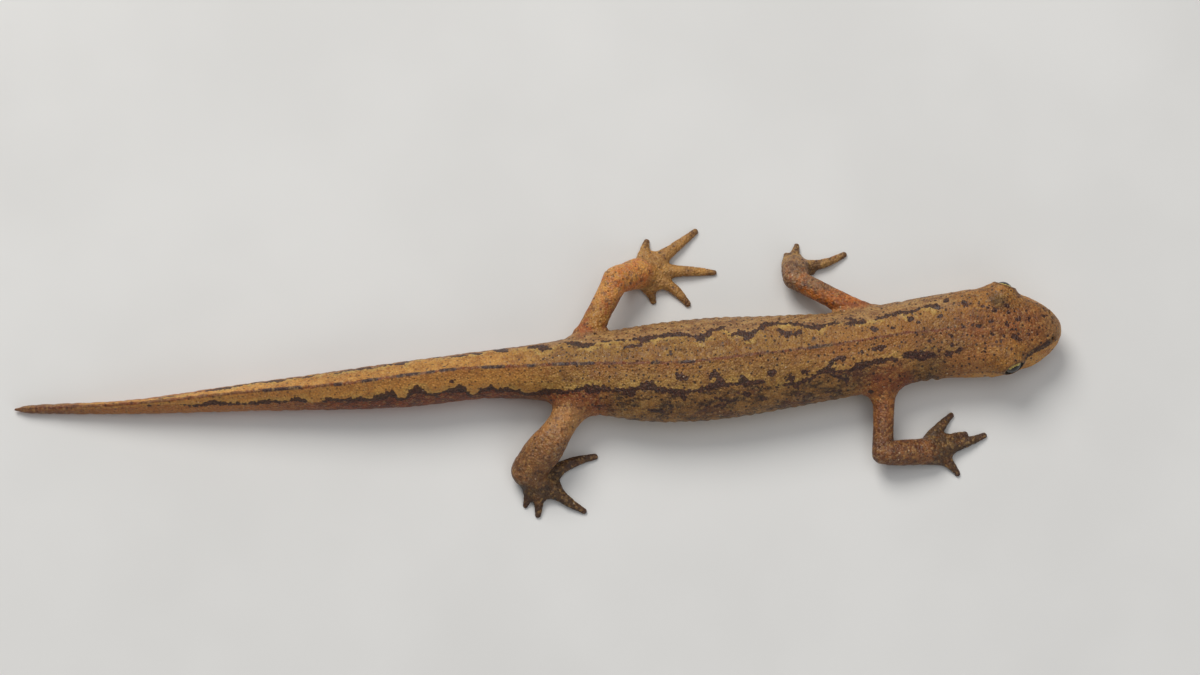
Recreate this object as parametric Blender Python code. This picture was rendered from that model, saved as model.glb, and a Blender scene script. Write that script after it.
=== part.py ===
"""A smooth newt, Lissotriton vulgaris, resting on the ground, modelled life-size.

X runs from the tip of the tail to the snout, Y to the newt's left and Z up from the ground.
Sizes are in millimetres, as on the animal. Only the finished parts are in metres.
"""

import math

import bmesh
import bpy
import numpy as np
from mathutils import Matrix, Vector

METRES_PER_MM = 0.001

# Clear space between neighbouring parts
JOINT_GAP = 0.3
EYE_GAP = 0.10

# Stations along the body: X, Y of the middle line, half width, top, underside, height of the
# widest line, and how steeply the back is drawn up (1 is an oval, more is a ridge)
TAIL_END = (-42.40, -3.25, 0.30, 0.75, -0.04, 0.35, 1.20)
TAIL_THIN = (-38.50, -3.23, 0.42, 1.25, -0.06, 0.55, 1.30)
TAIL_THIRD = (-33.60, -3.18, 0.52, 1.95, -0.07, 0.85, 1.40)
TAIL_HALF = (-23.60, -2.54, 1.06, 3.45, -0.09, 1.50, 1.40)
TAIL_DEEP = (-10.20, -1.54, 1.83, 4.65, -0.10, 2.10, 1.30)
TAIL_ROOT = (-3.20, -0.75, 1.95, 4.85, -0.02, 2.25, 1.15)
VENT = (1.00, -0.62, 2.40, 5.00, -0.06, 2.35, 1.05)
HIPS = (5.20, -0.75, 3.40, 5.20, -0.08, 2.45, 0.98)
LOIN = (8.50, -0.78, 3.94, 5.45, -0.12, 2.50, 0.95)
BELLY = (14.00, -0.42, 4.22, 5.60, -0.13, 2.50, 0.95)
CHEST = (20.10, 0.19, 3.84, 5.50, -0.12, 2.55, 0.95)
SHOULDERS = (26.20, 1.00, 3.44, 5.25, 0.02, 2.60, 0.92)
THROAT = (30.20, 1.86, 3.40, 4.98, 0.60, 2.55, 0.88)
NAPE = (33.00, 2.34, 3.46, 4.95, 0.82, 2.40, 0.82)
JAW = (36.10, 2.63, 3.62, 5.00, 0.84, 2.25, 0.78)
EYES = (38.10, 2.80, 3.28, 4.78, 0.92, 2.20, 0.78)
MUZZLE = (39.30, 2.82, 3.02, 4.58, 1.00, 2.12, 0.80)
SNOUT = (42.45, 3.06, 2.12, 4.22, 1.20, 2.35, 0.90)
BODY = (
    TAIL_END, TAIL_THIN, TAIL_THIRD, TAIL_HALF, TAIL_DEEP, TAIL_ROOT, VENT, HIPS, LOIN,
    BELLY, CHEST, SHOULDERS, THROAT, NAPE, JAW, EYES, MUZZLE, SNOUT,
)
BELLY_ROUNDNESS = 0.92

# The rounded ends, each from where its rounding starts
TAIL_ROUNDING = -40.60
SNOUT_ROUNDING = 39.30

# Where the body is parted into its named lengths, and how close the rings of each lie
TAIL_TIP_END = -31.80
TAIL_REAR_END = -21.20
TAIL_MIDDLE_END = -10.60
TAIL_BASE_END = 0.00
TRUNK_END = 29.80
NECK_END = 32.70
TAIL_RING_STEP = 1.50
TRUNK_RING_STEP = 1.45
HEAD_RING_STEP = 0.50
NECK_RING_STEP = 0.65
TAIL_SIDES = 20
TRUNK_SIDES = 32
HEAD_SIDES = 40

# Head details, as distance along the body, distance from the middle line and height
LEFT_EYE = (37.83, 2.72, 3.54)
RIGHT_EYE = (38.03, 2.70, 3.54)
EYE_RADIUS = 1.02
CORNEA_RADIUS = 0.80
CORNEA_RISE = 0.36
LID_RADIUS = 1.24
BROW_PLACE = (37.40, 2.20, 3.26)
BROW_SIZE = (1.80, 1.54, 1.52)
EYE_OPENING = (0.86, 0.70, 0.78)
LEFT_GAZE = (0.36, 0.93, 0.26)
RIGHT_GAZE = (0.40, 0.91, 0.10)
NOSTRIL_PLACE = (41.62, 1.05, 3.32)
NOSTRIL_RADIUS = 0.17
MOUTH_CORNER = 36.60
MOUTH_HEIGHT_AT_CORNER = 1.92
MOUTH_HEIGHT_UNDER_EYE = 1.72
MOUTH_HEIGHT_AT_SNOUT = 2.02
MOUTH_OPENING = 0.13
MOUTH_DEPTH = 0.28
LIP_SWELL = 0.10
LIP_HEIGHT = 0.26

# Limb segments are tubes between joints, each joint as X, Y, Z, with radii at the start,
# in the middle and at the end
SHOULDER_LEFT = (27.00, 4.00, 2.50)
ELBOW_LEFT = (21.00, 7.30, 1.90)
WRIST_LEFT = (21.10, 8.45, 1.10)
SHOULDER_RIGHT = (28.15, -0.40, 2.60)
ELBOW_RIGHT = (27.95, -7.25, 1.70)
WRIST_RIGHT = (31.60, -6.90, 0.95)
HIP_LEFT = (3.70, 1.50, 2.60)
KNEE_LEFT = (6.45, 6.95, 2.90)
ANKLE_LEFT = (8.20, 7.95, 1.25)
HIP_RIGHT = (3.90, -2.10, 2.50)
KNEE_RIGHT = (1.25, -6.42, 2.90)
ANKLE_RIGHT = (-0.70, -8.58, 1.25)
UPPER_ARM_RADII = (0.92, 0.84, 0.86)
FOREARM_RADII = (0.92, 1.06, 0.92)
THIGH_RADII_LEFT = (1.20, 0.98, 1.12)
SHANK_RADII_LEFT = (1.12, 1.18, 1.14)
THIGH_RADII_RIGHT = (1.45, 1.16, 1.35)
SHANK_RADII_RIGHT = (1.35, 1.50, 1.18)
LIMB_SIDES = 14
LIMB_RINGS = 7
LIMB_FLATTENING = 0.92

# Palms and soles: middle, then half length, half width and half height, and heading in degrees
PALM_LEFT = ((20.95, 8.95, 0.50), (0.88, 0.84, 0.50), 35.0)
PALM_RIGHT = ((32.55, -6.50, 0.50), (1.20, 1.25, 0.50), 15.0)
SOLE_LEFT = ((9.35, 8.35, 0.52), (1.40, 1.70, 0.52), 5.0)
SOLE_RIGHT = ((0.40, -9.42, 0.52), (1.55, 1.30, 0.52), -25.0)

# Fingers and toes from the inner side outwards: X and Y of the root, X and Y of the tip, radius
# at the root, and how far the middle is bent to the left
FINGERS_LEFT = (
    (21.45, 8.60, 22.70, 8.35, 0.34, 0.00),
    (21.60, 8.80, 25.35, 9.95, 0.40, -0.28),
    (21.10, 9.30, 21.30, 10.85, 0.36, 0.05),
    (20.65, 9.20, 20.30, 10.05, 0.34, 0.00),
)
FINGERS_RIGHT = (
    (31.80, -5.90, 33.80, -3.50, 0.46, 0.06),
    (32.95, -6.05, 34.95, -5.15, 0.38, 0.08),
    (33.05, -6.55, 36.50, -5.30, 0.44, -0.08),
    (32.30, -7.10, 34.25, -8.70, 0.44, 0.18),
)
TOES_LEFT = (
    (8.95, 7.10, 9.60, 5.70, 0.38, 0.06),
    (9.70, 7.75, 12.50, 5.55, 0.46, 0.24),
    (10.00, 8.35, 14.70, 8.35, 0.47, 0.05),
    (9.75, 9.20, 13.15, 12.00, 0.47, -0.04),
    (8.75, 9.40, 9.00, 11.20, 0.44, 0.05),
)
TOES_RIGHT = (
    (0.90, -8.90, 2.75, -7.72, 0.36, 0.05),
    (1.00, -8.78, 4.95, -7.05, 0.50, 0.24),
    (1.20, -9.78, 4.05, -11.80, 0.47, -0.12),
    (0.15, -10.18, 0.15, -12.20, 0.42, 0.04),
    (-0.45, -10.00, -0.95, -11.40, 0.38, 0.00),
)
DIGIT_ROOT_FLARE = 0.14
DIGIT_TIP_RADIUS = 0.26
DIGIT_TAPER = 1.6
DIGIT_FLATTENING = 0.84
DIGIT_SIDES = 9
DIGIT_RINGS = 6
DIGIT_ARCH = 0.10
SOLE_SINK = 0.06
PALM_SLOPE = 0.62

# Colours
BACK_BROWN = (0.36, 0.20, 0.06, 1.0)
FLANK_BROWN = (0.26, 0.12, 0.04, 1.0)
LEG_ORANGE = (0.42, 0.17, 0.05, 1.0)
TOE_OLIVE = (0.30, 0.20, 0.07, 1.0)
EYE_BLACK = (0.01, 0.01, 0.01, 1.0)


def clear_scene():
    """Removes every object that the scene holds."""
    for obj in list(bpy.data.objects):
        bpy.data.objects.remove(obj, do_unlink=True)


def station_value(column, x):
    """One column of the body's stations at x, on a smooth curve through them all."""
    places = np.array([station[0] for station in BODY])
    values = np.array([station[column] for station in BODY])
    slopes = np.gradient(values, places)
    index = int(np.clip(np.searchsorted(places, x) - 1, 0, len(places) - 2))
    width = places[index + 1] - places[index]
    t = (x - places[index]) / width
    start = values[index] * (1 + 2 * t) * (1 - t) ** 2
    start += slopes[index] * width * t * (1 - t) ** 2
    end = values[index + 1] * t * t * (3 - 2 * t)
    end += slopes[index + 1] * width * t * t * (t - 1)
    return float(start + end)


def end_rounding(x):
    """How far the section has closed at x: 1 along the body, 0 at the snout and the tail's tip."""
    if x > SNOUT_ROUNDING:
        reach = (x - SNOUT_ROUNDING) / (SNOUT[0] - SNOUT_ROUNDING)
    elif x < TAIL_ROUNDING:
        reach = (TAIL_ROUNDING - x) / (TAIL_ROUNDING - TAIL_END[0])
    else:
        reach = 0.0
    return math.sqrt(max(0.0, 1.0 - reach * reach))


def heading(x):
    """Direction of the middle line at x, as an angle from the X axis."""
    step = 0.5
    rise = station_value(1, x + step) - station_value(1, x - step)
    return math.atan2(rise, 2 * step)


def body_point(x, side, height):
    """The place that lies this far to the left of the middle line at x, and this high."""
    angle = heading(min(x, SNOUT[0] - 1.0))
    return Vector((x - side * math.sin(angle), station_value(1, x) + side * math.cos(angle), height))


def mouth_height(x):
    """Height of the line of the mouth: it dips below the eye and rises to the snout."""
    reach = np.clip((x - MOUTH_CORNER) / (SNOUT[0] - MOUTH_CORNER), 0.0, 1.0)
    line = MOUTH_HEIGHT_AT_CORNER + (MOUTH_HEIGHT_AT_SNOUT - MOUTH_HEIGHT_AT_CORNER) * reach
    middle = 0.5 * (MOUTH_HEIGHT_AT_CORNER + MOUTH_HEIGHT_AT_SNOUT)
    return float(line - (middle - MOUTH_HEIGHT_UNDER_EYE) * math.sin(math.pi * reach))


def lip_swell(x, height):
    """How far the lips stand out on either side of the line of the mouth."""
    fade = np.clip((x - MOUTH_CORNER + 0.5) / 1.5, 0.0, 1.0)
    distance = (abs(height - mouth_height(x)) - LIP_HEIGHT) / LIP_HEIGHT
    return float(LIP_SWELL * fade * math.exp(-distance * distance))


def body_ring(x, sides, grow=0.0, rests=True):
    """Points round the body at x, from its left side over the back."""
    rounding = end_rounding(x)
    widest = station_value(5, x)
    half_width = station_value(2, x) * rounding + grow
    above = (station_value(3, x) - widest) * rounding + grow
    below = (widest - station_value(4, x)) * rounding + grow
    ridge = station_value(6, x)
    points = []
    for step in range(sides):
        angle = math.tau * step / sides
        reach = abs(math.cos(angle)) ** (ridge if math.sin(angle) > 0 else BELLY_ROUNDNESS)
        side = math.copysign(half_width * reach, math.cos(angle))
        height = widest + math.sin(angle) * (above if math.sin(angle) > 0 else below)
        if x > NECK_END and rests:
            side += math.copysign(lip_swell(x, height) * rounding * min(1.0, 2 * reach), side)
        if rests:
            height = max(height, 0.0)
        points.append(body_point(x, side, height))
    return points


def new_part(name, mesh_maker):
    """An object whose mesh the given function draws into an empty bmesh."""
    mesh = bpy.data.meshes.new(name)
    bm = bmesh.new()
    mesh_maker(bm)
    bmesh.ops.recalc_face_normals(bm, faces=bm.faces[:])
    if bm.calc_volume(signed=True) < 0:
        bmesh.ops.reverse_faces(bm, faces=bm.faces[:])
    bm.to_mesh(mesh)
    bm.free()
    part = bpy.data.objects.new(name, mesh)
    bpy.context.collection.objects.link(part)
    return part


def add_loft(bm, rings, first_pole=None, last_pole=None):
    """A closed skin over rings of points. An end with no pole is closed by a flat fan."""
    loops = [[bm.verts.new(point) for point in ring] for ring in rings]
    for near, far in zip(loops, loops[1:]):
        for index in range(len(near)):
            after = (index + 1) % len(near)
            bm.faces.new((near[index], near[after], far[after], far[index]))
    for loop, pole in ((loops[0], first_pole), (loops[-1], last_pole)):
        middle = pole or sum((vert.co for vert in loop), Vector()) / len(loop)
        centre = bm.verts.new(middle)
        for index in range(len(loop)):
            bm.faces.new((loop[index], loop[(index + 1) % len(loop)], centre))


def ring_places(start, end, step):
    """Places of the rings between two ends, evenly spaced."""
    count = max(2, round((end - start) / step) + 1)
    return [float(x) for x in np.linspace(start, end, count)]


def body_length(name, start, end, step, sides):
    """One length of the body, with a gap left at each parting."""
    inner_start = start + JOINT_GAP / 2 if start > TAIL_END[0] else start
    inner_end = end - JOINT_GAP / 2

    def draw(bm):
        places = ring_places(inner_start, inner_end, step)
        pole = None
        if start == TAIL_END[0]:
            pole = body_point(start, 0.0, TAIL_END[5])
            places[0] = start + 0.05
            places.insert(1, start + 0.45)
        add_loft(bm, [body_ring(x, sides) for x in places], first_pole=pole)

    return new_part(name, draw)


def draw_snout_end(bm, start, sides, grow, rests):
    """The body from a start to the tip of the snout, with rings that close up towards the tip."""
    tip = SNOUT[0] + grow
    places = ring_places(start, SNOUT_ROUNDING, HEAD_RING_STEP)
    turns = 9
    for turn in range(1, turns):
        reach = math.sin(math.pi / 2 * turn / turns)
        places.append(SNOUT_ROUNDING + (SNOUT[0] - SNOUT_ROUNDING) * reach)
    places.append(SNOUT[0] - 0.012)
    rings = [body_ring(x, sides, grow, rests) for x in places]
    add_loft(bm, rings, last_pole=body_point(tip, 0.0, SNOUT[5]))


def add_ellipsoid(bm, place, size, turn=None, segments=20, rings=12):
    """A closed ellipsoid, turned about its own middle."""
    matrix = Matrix.Translation(place) @ (turn or Matrix.Identity(4)) @ Matrix.Diagonal((*size, 1.0))
    bmesh.ops.create_uvsphere(bm, u_segments=segments, v_segments=rings, radius=1.0, matrix=matrix)


def head_place(place, mirror):
    """A place on the head: its left side, or its right side with mirror at -1."""
    x, side, height = place
    return body_point(x, side * mirror, height)


def eye_middle(mirror):
    """Middle of the left eyeball, or of the right one."""
    return head_place(LEFT_EYE if mirror > 0 else RIGHT_EYE, mirror)


def gaze_direction(mirror):
    """Where an eye looks, in the same frame as the body."""
    angle = heading(LEFT_EYE[0])
    forward, outward, upward = LEFT_GAZE if mirror > 0 else RIGHT_GAZE
    along = Vector((math.cos(angle), math.sin(angle), 0.0)) * forward
    across = Vector((-math.sin(angle), math.cos(angle), 0.0)) * outward * mirror
    return (along + across + Vector((0.0, 0.0, upward))).normalized()


def gaze_turn(mirror):
    """Turns a shape so that its Y axis follows the gaze and its X axis stays level."""
    out = gaze_direction(mirror)
    level = out.cross(Vector((0.0, 0.0, 1.0))).normalized()
    upward = level.cross(out)
    return Matrix((level, out, upward)).transposed().to_4x4()


def combine(base, others, operation, solver="EXACT"):
    """Joins or cuts closed parts in one Boolean, and keeps the largest closed surface."""
    helpers = bpy.data.collections.new("helpers")
    for other in others:
        helpers.objects.link(other)
    modifier = base.modifiers.new("combine", "BOOLEAN")
    modifier.operation = operation
    modifier.operand_type = "COLLECTION"
    modifier.collection = helpers
    modifier.solver = solver
    graph = bpy.context.evaluated_depsgraph_get()
    combined = bpy.data.meshes.new_from_object(base.evaluated_get(graph))
    base.modifiers.remove(modifier)
    old = base.data
    base.data = combined
    bpy.data.meshes.remove(old)
    for other in others:
        bpy.data.objects.remove(other, do_unlink=True)
    bpy.data.collections.remove(helpers)
    keep_largest(base.data)
    return base


def keep_largest(mesh):
    """Removes every loose scrap of a mesh but its largest surface."""
    bm = bmesh.new()
    bm.from_mesh(mesh)
    unseen = set(bm.verts)
    islands = []
    while unseen:
        front = [unseen.pop()]
        island = set(front)
        while front:
            vert = front.pop()
            for edge in vert.link_edges:
                other = edge.other_vert(vert)
                if other in unseen:
                    unseen.remove(other)
                    island.add(other)
                    front.append(other)
        islands.append(island)
    largest = max(islands, key=len)
    scraps = [vert for vert in bm.verts if vert not in largest]
    bmesh.ops.delete(bm, geom=scraps, context="VERTS")
    bm.to_mesh(mesh)
    bm.free()


def mouth_cutter():
    """A thin curved plate at the line of the mouth that reaches only a little way into the head."""
    width = 6.0

    def draw_plate(bm):
        rings = []
        for x in ring_places(MOUTH_CORNER, SNOUT[0] + 1.0, 0.55):
            level = mouth_height(x)
            opening = MOUTH_OPENING * min(1.0, 0.35 + 0.5 * (x - MOUTH_CORNER))
            corners = ((width, -opening), (width, opening), (-width, opening), (-width, -opening))
            rings.append([body_point(x, side, level + rise / 2) for side, rise in corners])
        add_loft(bm, rings)

    def draw_core(bm):
        draw_snout_end(bm, NECK_END, HEAD_SIDES, -MOUTH_DEPTH, False)

    plate = new_part("mouth_plate", draw_plate)
    core = new_part("mouth_core", draw_core)
    return combine(plate, [core], "DIFFERENCE")


def draw_lid(bm, mirror):
    """The lids of one eye and the brow behind them, as one rounded body."""
    turn = Matrix.Rotation(heading(BROW_PLACE[0]), 4, "Z")
    add_ellipsoid(bm, head_place(BROW_PLACE, mirror), BROW_SIZE, turn)
    add_ellipsoid(bm, eye_middle(mirror), (LID_RADIUS,) * 3)
    places = [vert.co.copy() for vert in bm.verts]
    bm.clear()
    corners = [bm.verts.new(place) for place in places]
    hull = bmesh.ops.convex_hull(bm, input=corners)
    inner = [item for item in hull["geom_interior"] if isinstance(item, bmesh.types.BMVert)]
    bmesh.ops.delete(bm, geom=inner, context="VERTS")


def head_with_lids():
    """The skull's outline with the lids raised on it, before anything is cut."""
    head = new_part("head", lambda bm: draw_snout_end(bm, NECK_END + JOINT_GAP / 2, HEAD_SIDES, 0.0, True))
    lids = []
    for mirror in (1, -1):
        lids.append(new_part("lid", lambda bm, m=mirror: draw_lid(bm, m)))
    return combine(head, lids, "UNION")


def head_cutters():
    """Eye sockets, the openings between the lids, nostrils and the line of the mouth."""
    cutters = [mouth_cutter()]
    for mirror in (1, -1):
        eye = eye_middle(mirror)
        socket = EYE_RADIUS + EYE_GAP
        opening = eye + gaze_direction(mirror) * EYE_RADIUS
        turn = gaze_turn(mirror)
        nostril = head_place(NOSTRIL_PLACE, mirror)
        hole = (NOSTRIL_RADIUS * 1.3, NOSTRIL_RADIUS * 1.8, NOSTRIL_RADIUS)
        shapes = ((eye, (socket,) * 3, turn, 20, 12), (opening, EYE_OPENING, turn, 20, 12))
        shapes += ((nostril, hole, turn, 10, 6),)
        for place, size, rotation, segments, rings in shapes:
            cutters.append(
                new_part(
                    "cutter",
                    lambda bm, p=place, s=size, t=rotation, n=segments, r=rings: add_ellipsoid(bm, p, s, t, n, r),
                )
            )
    return cutters


def make_head():
    """The head with its lids, mouth and nostrils."""
    return combine(head_with_lids(), head_cutters(), "DIFFERENCE", "MANIFOLD")


def make_eye(name, mirror):
    """An eyeball with the slight rise of its cornea along the gaze."""

    def draw(bm):
        turn = gaze_turn(mirror)
        bmesh.ops.create_uvsphere(bm, u_segments=18, v_segments=12, radius=EYE_RADIUS)
        for vert in bm.verts:
            out = vert.co.normalized()
            rise = CORNEA_RISE * max(0.0, out.z) ** 6 * (EYE_RADIUS - CORNEA_RADIUS)
            vert.co = out * (EYE_RADIUS + rise)
        forward = Matrix.Rotation(-math.pi / 2, 4, "X")
        bm.transform(Matrix.Translation(eye_middle(mirror)) @ turn @ forward)

    return new_part(name, draw)


def add_tube(bm, path, radii, sides, flattening=1.0):
    """A tube with rounded ends along a path, one radius for each point."""
    rings = []
    count = len(path)
    for index, (point, radius) in enumerate(zip(path, radii)):
        along = (path[min(index + 1, count - 1)] - path[max(index - 1, 0)]).normalized()
        across = along.cross(Vector((0.0, 0.0, 1.0))).normalized()
        upward = across.cross(along)
        ends = (0.0,)
        if index == 0:
            ends = (-66.0, -36.0, 0.0)
        elif index == count - 1:
            ends = (0.0, 36.0, 66.0)
        for end in ends:
            shift = radius * math.sin(math.radians(end))
            reach = radius * math.cos(math.radians(end))
            ring = []
            for step in range(sides):
                angle = math.tau * step / sides
                offset = across * math.cos(angle) + upward * math.sin(angle) * flattening
                ring.append(point + along * shift + offset * reach)
            rings.append(ring)
    first = path[0] - (path[1] - path[0]).normalized() * radii[0]
    last = path[-1] + (path[-1] - path[-2]).normalized() * radii[-1]
    add_loft(bm, rings, first, last)


def swelling(radii, t):
    """Radius along a limb segment: the first, middle and last radius on one smooth curve."""
    first, middle, last = radii
    bulge = middle - 0.5 * (first + last)
    return first + (last - first) * t + bulge * 4 * t * (1 - t)


def draw_limb(bm, start, end, radii):
    """One limb segment between two joints."""
    steps = [index / (LIMB_RINGS - 1) for index in range(LIMB_RINGS)]
    path = [Vector(start).lerp(Vector(end), t) for t in steps]
    add_tube(bm, path, [swelling(radii, t) for t in steps], LIMB_SIDES, LIMB_FLATTENING)


def cut_flat(part, point, outward):
    """Cuts a part off flat where it passes the point, on the side that faces outward."""
    bm = bmesh.new()
    bm.from_mesh(part.data)
    geometry = bm.verts[:] + bm.edges[:] + bm.faces[:]
    bmesh.ops.bisect_plane(bm, geom=geometry, plane_co=point, plane_no=outward, clear_outer=True)
    rim = [edge for edge in bm.edges if edge.is_boundary]
    bmesh.ops.edgeloop_fill(bm, edges=rim)
    bmesh.ops.recalc_face_normals(bm, faces=bm.faces[:])
    bm.to_mesh(part.data)
    bm.free()


def parting_normal(before, joint, after):
    """Normal of the plane that halves the bend at a joint, pointing to the far segment."""
    incoming = (Vector(joint) - Vector(before)).normalized()
    outgoing = (Vector(after) - Vector(joint)).normalized()
    return (incoming + outgoing).normalized()


def part_at_joint(near, far, before, joint, after):
    """Leaves a flat-faced gap between two limb segments at their joint."""
    normal = parting_normal(before, joint, after)
    cut_flat(near, Vector(joint) - normal * JOINT_GAP / 2, normal)
    cut_flat(far, Vector(joint) + normal * JOINT_GAP / 2, -normal)


def body_clearance():
    """The trunk's shape grown by the gap, which trims the roots of the limbs."""

    def draw(bm):
        places = ring_places(TAIL_ROOT[0] - 3.0, NAPE[0], TRUNK_RING_STEP)
        add_loft(bm, [body_ring(x, TRUNK_SIDES, JOINT_GAP, False) for x in places])

    return new_part("body_clearance", draw)


def draw_digit(bm, digit):
    """A finger or toe that leaves the palm broad and level, arches a little and tapers."""
    root_x, root_y, tip_x, tip_y, root_radius, bend = digit
    start = Vector((root_x, root_y, 0.0))
    end = Vector((tip_x, tip_y, 0.0))
    along = (end - start).normalized()
    leftward = Vector((-along.y, along.x, 0.0))
    end -= along * DIGIT_TIP_RADIUS
    path = []
    radii = []
    for index in range(DIGIT_RINGS):
        t = index / (DIGIT_RINGS - 1)
        radius = root_radius + (DIGIT_TIP_RADIUS - root_radius) * t ** DIGIT_TAPER
        radius += DIGIT_ROOT_FLARE * (1 - t) ** 2
        point = start.lerp(end, t) + leftward * bend * math.sin(math.pi * t)
        point.z = radius * DIGIT_FLATTENING - SOLE_SINK + DIGIT_ARCH * math.sin(math.pi * t)
        path.append(point)
        radii.append(radius)
    add_tube(bm, path, radii, DIGIT_SIDES, DIGIT_FLATTENING)


def make_foot(name, before, joint, palm, digits, joint_radius):
    """A hand or foot: its wrist or ankle, palm and digits fused, with a flat underside."""
    middle, size, turn_degrees = palm
    turn = Matrix.Rotation(math.radians(turn_degrees), 4, "Z")
    foot = new_part(name, lambda bm: add_ellipsoid(bm, Vector(middle), size, turn, 16, 10))
    steps = [index / 3 for index in range(4)]
    path = [Vector(joint).lerp(Vector(middle), t) for t in steps]
    last_radius = PALM_SLOPE * min(size[0], size[1])
    radii = [joint_radius + (last_radius - joint_radius) * t for t in steps]
    wrist = new_part("wrist", lambda bm: add_tube(bm, path, radii, LIMB_SIDES, LIMB_FLATTENING))
    combine(foot, [wrist], "UNION")
    normal = parting_normal(before, joint, middle)
    cut_flat(foot, Vector(joint) + normal * JOINT_GAP / 2, -normal)
    pieces = []
    for digit in digits:
        pieces.append(new_part("digit", lambda bm, d=digit: draw_digit(bm, d)))
    combine(foot, pieces, "UNION")
    cut_flat(foot, Vector((0.0, 0.0, 0.0)), Vector((0.0, 0.0, -1.0)))
    return foot


def make_limb(names, joints, radii, palm, digits):
    """The three parts of one leg, from its root in the body to its digits."""
    root, bend, end = joints
    upper_radii, lower_radii = radii
    upper = new_part(names[0], lambda bm: draw_limb(bm, root, bend, upper_radii))
    lower = new_part(names[1], lambda bm: draw_limb(bm, bend, end, lower_radii))
    foot = make_foot(names[2], bend, end, palm, digits, lower_radii[2])
    part_at_joint(upper, lower, root, bend, end)
    normal = parting_normal(bend, end, palm[0])
    cut_flat(lower, Vector(end) - normal * JOINT_GAP / 2, normal)
    combine(upper, [body_clearance()], "DIFFERENCE")
    return [upper, lower, foot]


def coat(part, colour, roughness):
    """Gives a part its own Principled material and smooth shading."""
    material = bpy.data.materials.new(part.name)
    material.use_nodes = True
    shader = material.node_tree.nodes["Principled BSDF"]
    shader.inputs["Base Color"].default_value = colour
    shader.inputs["Roughness"].default_value = roughness
    shader.inputs["Metallic"].default_value = 0.0
    part.data.materials.clear()
    part.data.materials.append(material)
    part.data.shade_smooth()
    part.data.set_sharp_from_angle(angle=math.radians(50))


def make_body():
    """The tail in four lengths, the trunk, the neck and the head."""
    return [
        body_length("tail_tip", TAIL_END[0], TAIL_TIP_END, TAIL_RING_STEP, TAIL_SIDES),
        body_length("tail_rear", TAIL_TIP_END, TAIL_REAR_END, TAIL_RING_STEP, TAIL_SIDES),
        body_length("tail_middle", TAIL_REAR_END, TAIL_MIDDLE_END, TAIL_RING_STEP, TAIL_SIDES),
        body_length("tail_base", TAIL_MIDDLE_END, TAIL_BASE_END, TAIL_RING_STEP, TAIL_SIDES),
        body_length("trunk", TAIL_BASE_END, TRUNK_END, TRUNK_RING_STEP, TRUNK_SIDES),
        body_length("neck", TRUNK_END, NECK_END, NECK_RING_STEP, TRUNK_SIDES),
        make_head(),
    ]


def make_limbs():
    """All four legs."""
    arm_radii = (UPPER_ARM_RADII, FOREARM_RADII)
    left_radii = (THIGH_RADII_LEFT, SHANK_RADII_LEFT)
    right_radii = (THIGH_RADII_RIGHT, SHANK_RADII_RIGHT)
    parts = []
    for side, joints, palm, digits in (
        ("left", (SHOULDER_LEFT, ELBOW_LEFT, WRIST_LEFT), PALM_LEFT, FINGERS_LEFT),
        ("right", (SHOULDER_RIGHT, ELBOW_RIGHT, WRIST_RIGHT), PALM_RIGHT, FINGERS_RIGHT),
    ):
        names = [f"{word}_{side}" for word in ("upper_arm", "forearm", "hand")]
        parts += make_limb(names, joints, arm_radii, palm, digits)
    for side, joints, radii, palm, digits in (
        ("left", (HIP_LEFT, KNEE_LEFT, ANKLE_LEFT), left_radii, SOLE_LEFT, TOES_LEFT),
        ("right", (HIP_RIGHT, KNEE_RIGHT, ANKLE_RIGHT), right_radii, SOLE_RIGHT, TOES_RIGHT),
    ):
        names = [f"{word}_{side}" for word in ("thigh", "shank", "foot")]
        parts += make_limb(names, joints, radii, palm, digits)
    return parts


def finish_in_metres(parts):
    """Scales the parts to metres, with the origin under the middle of their common box."""
    points = np.array([vert.co for part in parts for vert in part.data.vertices])
    low = points.min(axis=0)
    high = points.max(axis=0)
    origin = Vector(((low[0] + high[0]) / 2, (low[1] + high[1]) / 2, low[2]))
    for part in parts:
        part.data.transform(Matrix.Scale(METRES_PER_MM, 4) @ Matrix.Translation(-origin))


def main():
    clear_scene()
    body = make_body()
    limbs = make_limbs()
    eyes = [make_eye("eye_left", 1), make_eye("eye_right", -1)]
    for part in body:
        coat(part, FLANK_BROWN if part.name.startswith("tail") else BACK_BROWN, 0.55)
    for part in limbs:
        coat(part, TOE_OLIVE if part.name.startswith(("hand", "foot")) else LEG_ORANGE, 0.55)
    for part in eyes:
        coat(part, EYE_BLACK, 0.08)
    finish_in_metres(body + limbs + eyes)


main()
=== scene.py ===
"""A smooth newt on a pale floor: its skin, its eyes, the light and the camera.

X runs from the tip of the tail to the snout, Y to the newt's left and Z up from the floor.
Shapes are worked out in millimetres and put into the frame in metres.
"""

import math

import bpy
import numpy as np
from mathutils import Matrix, Vector

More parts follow.
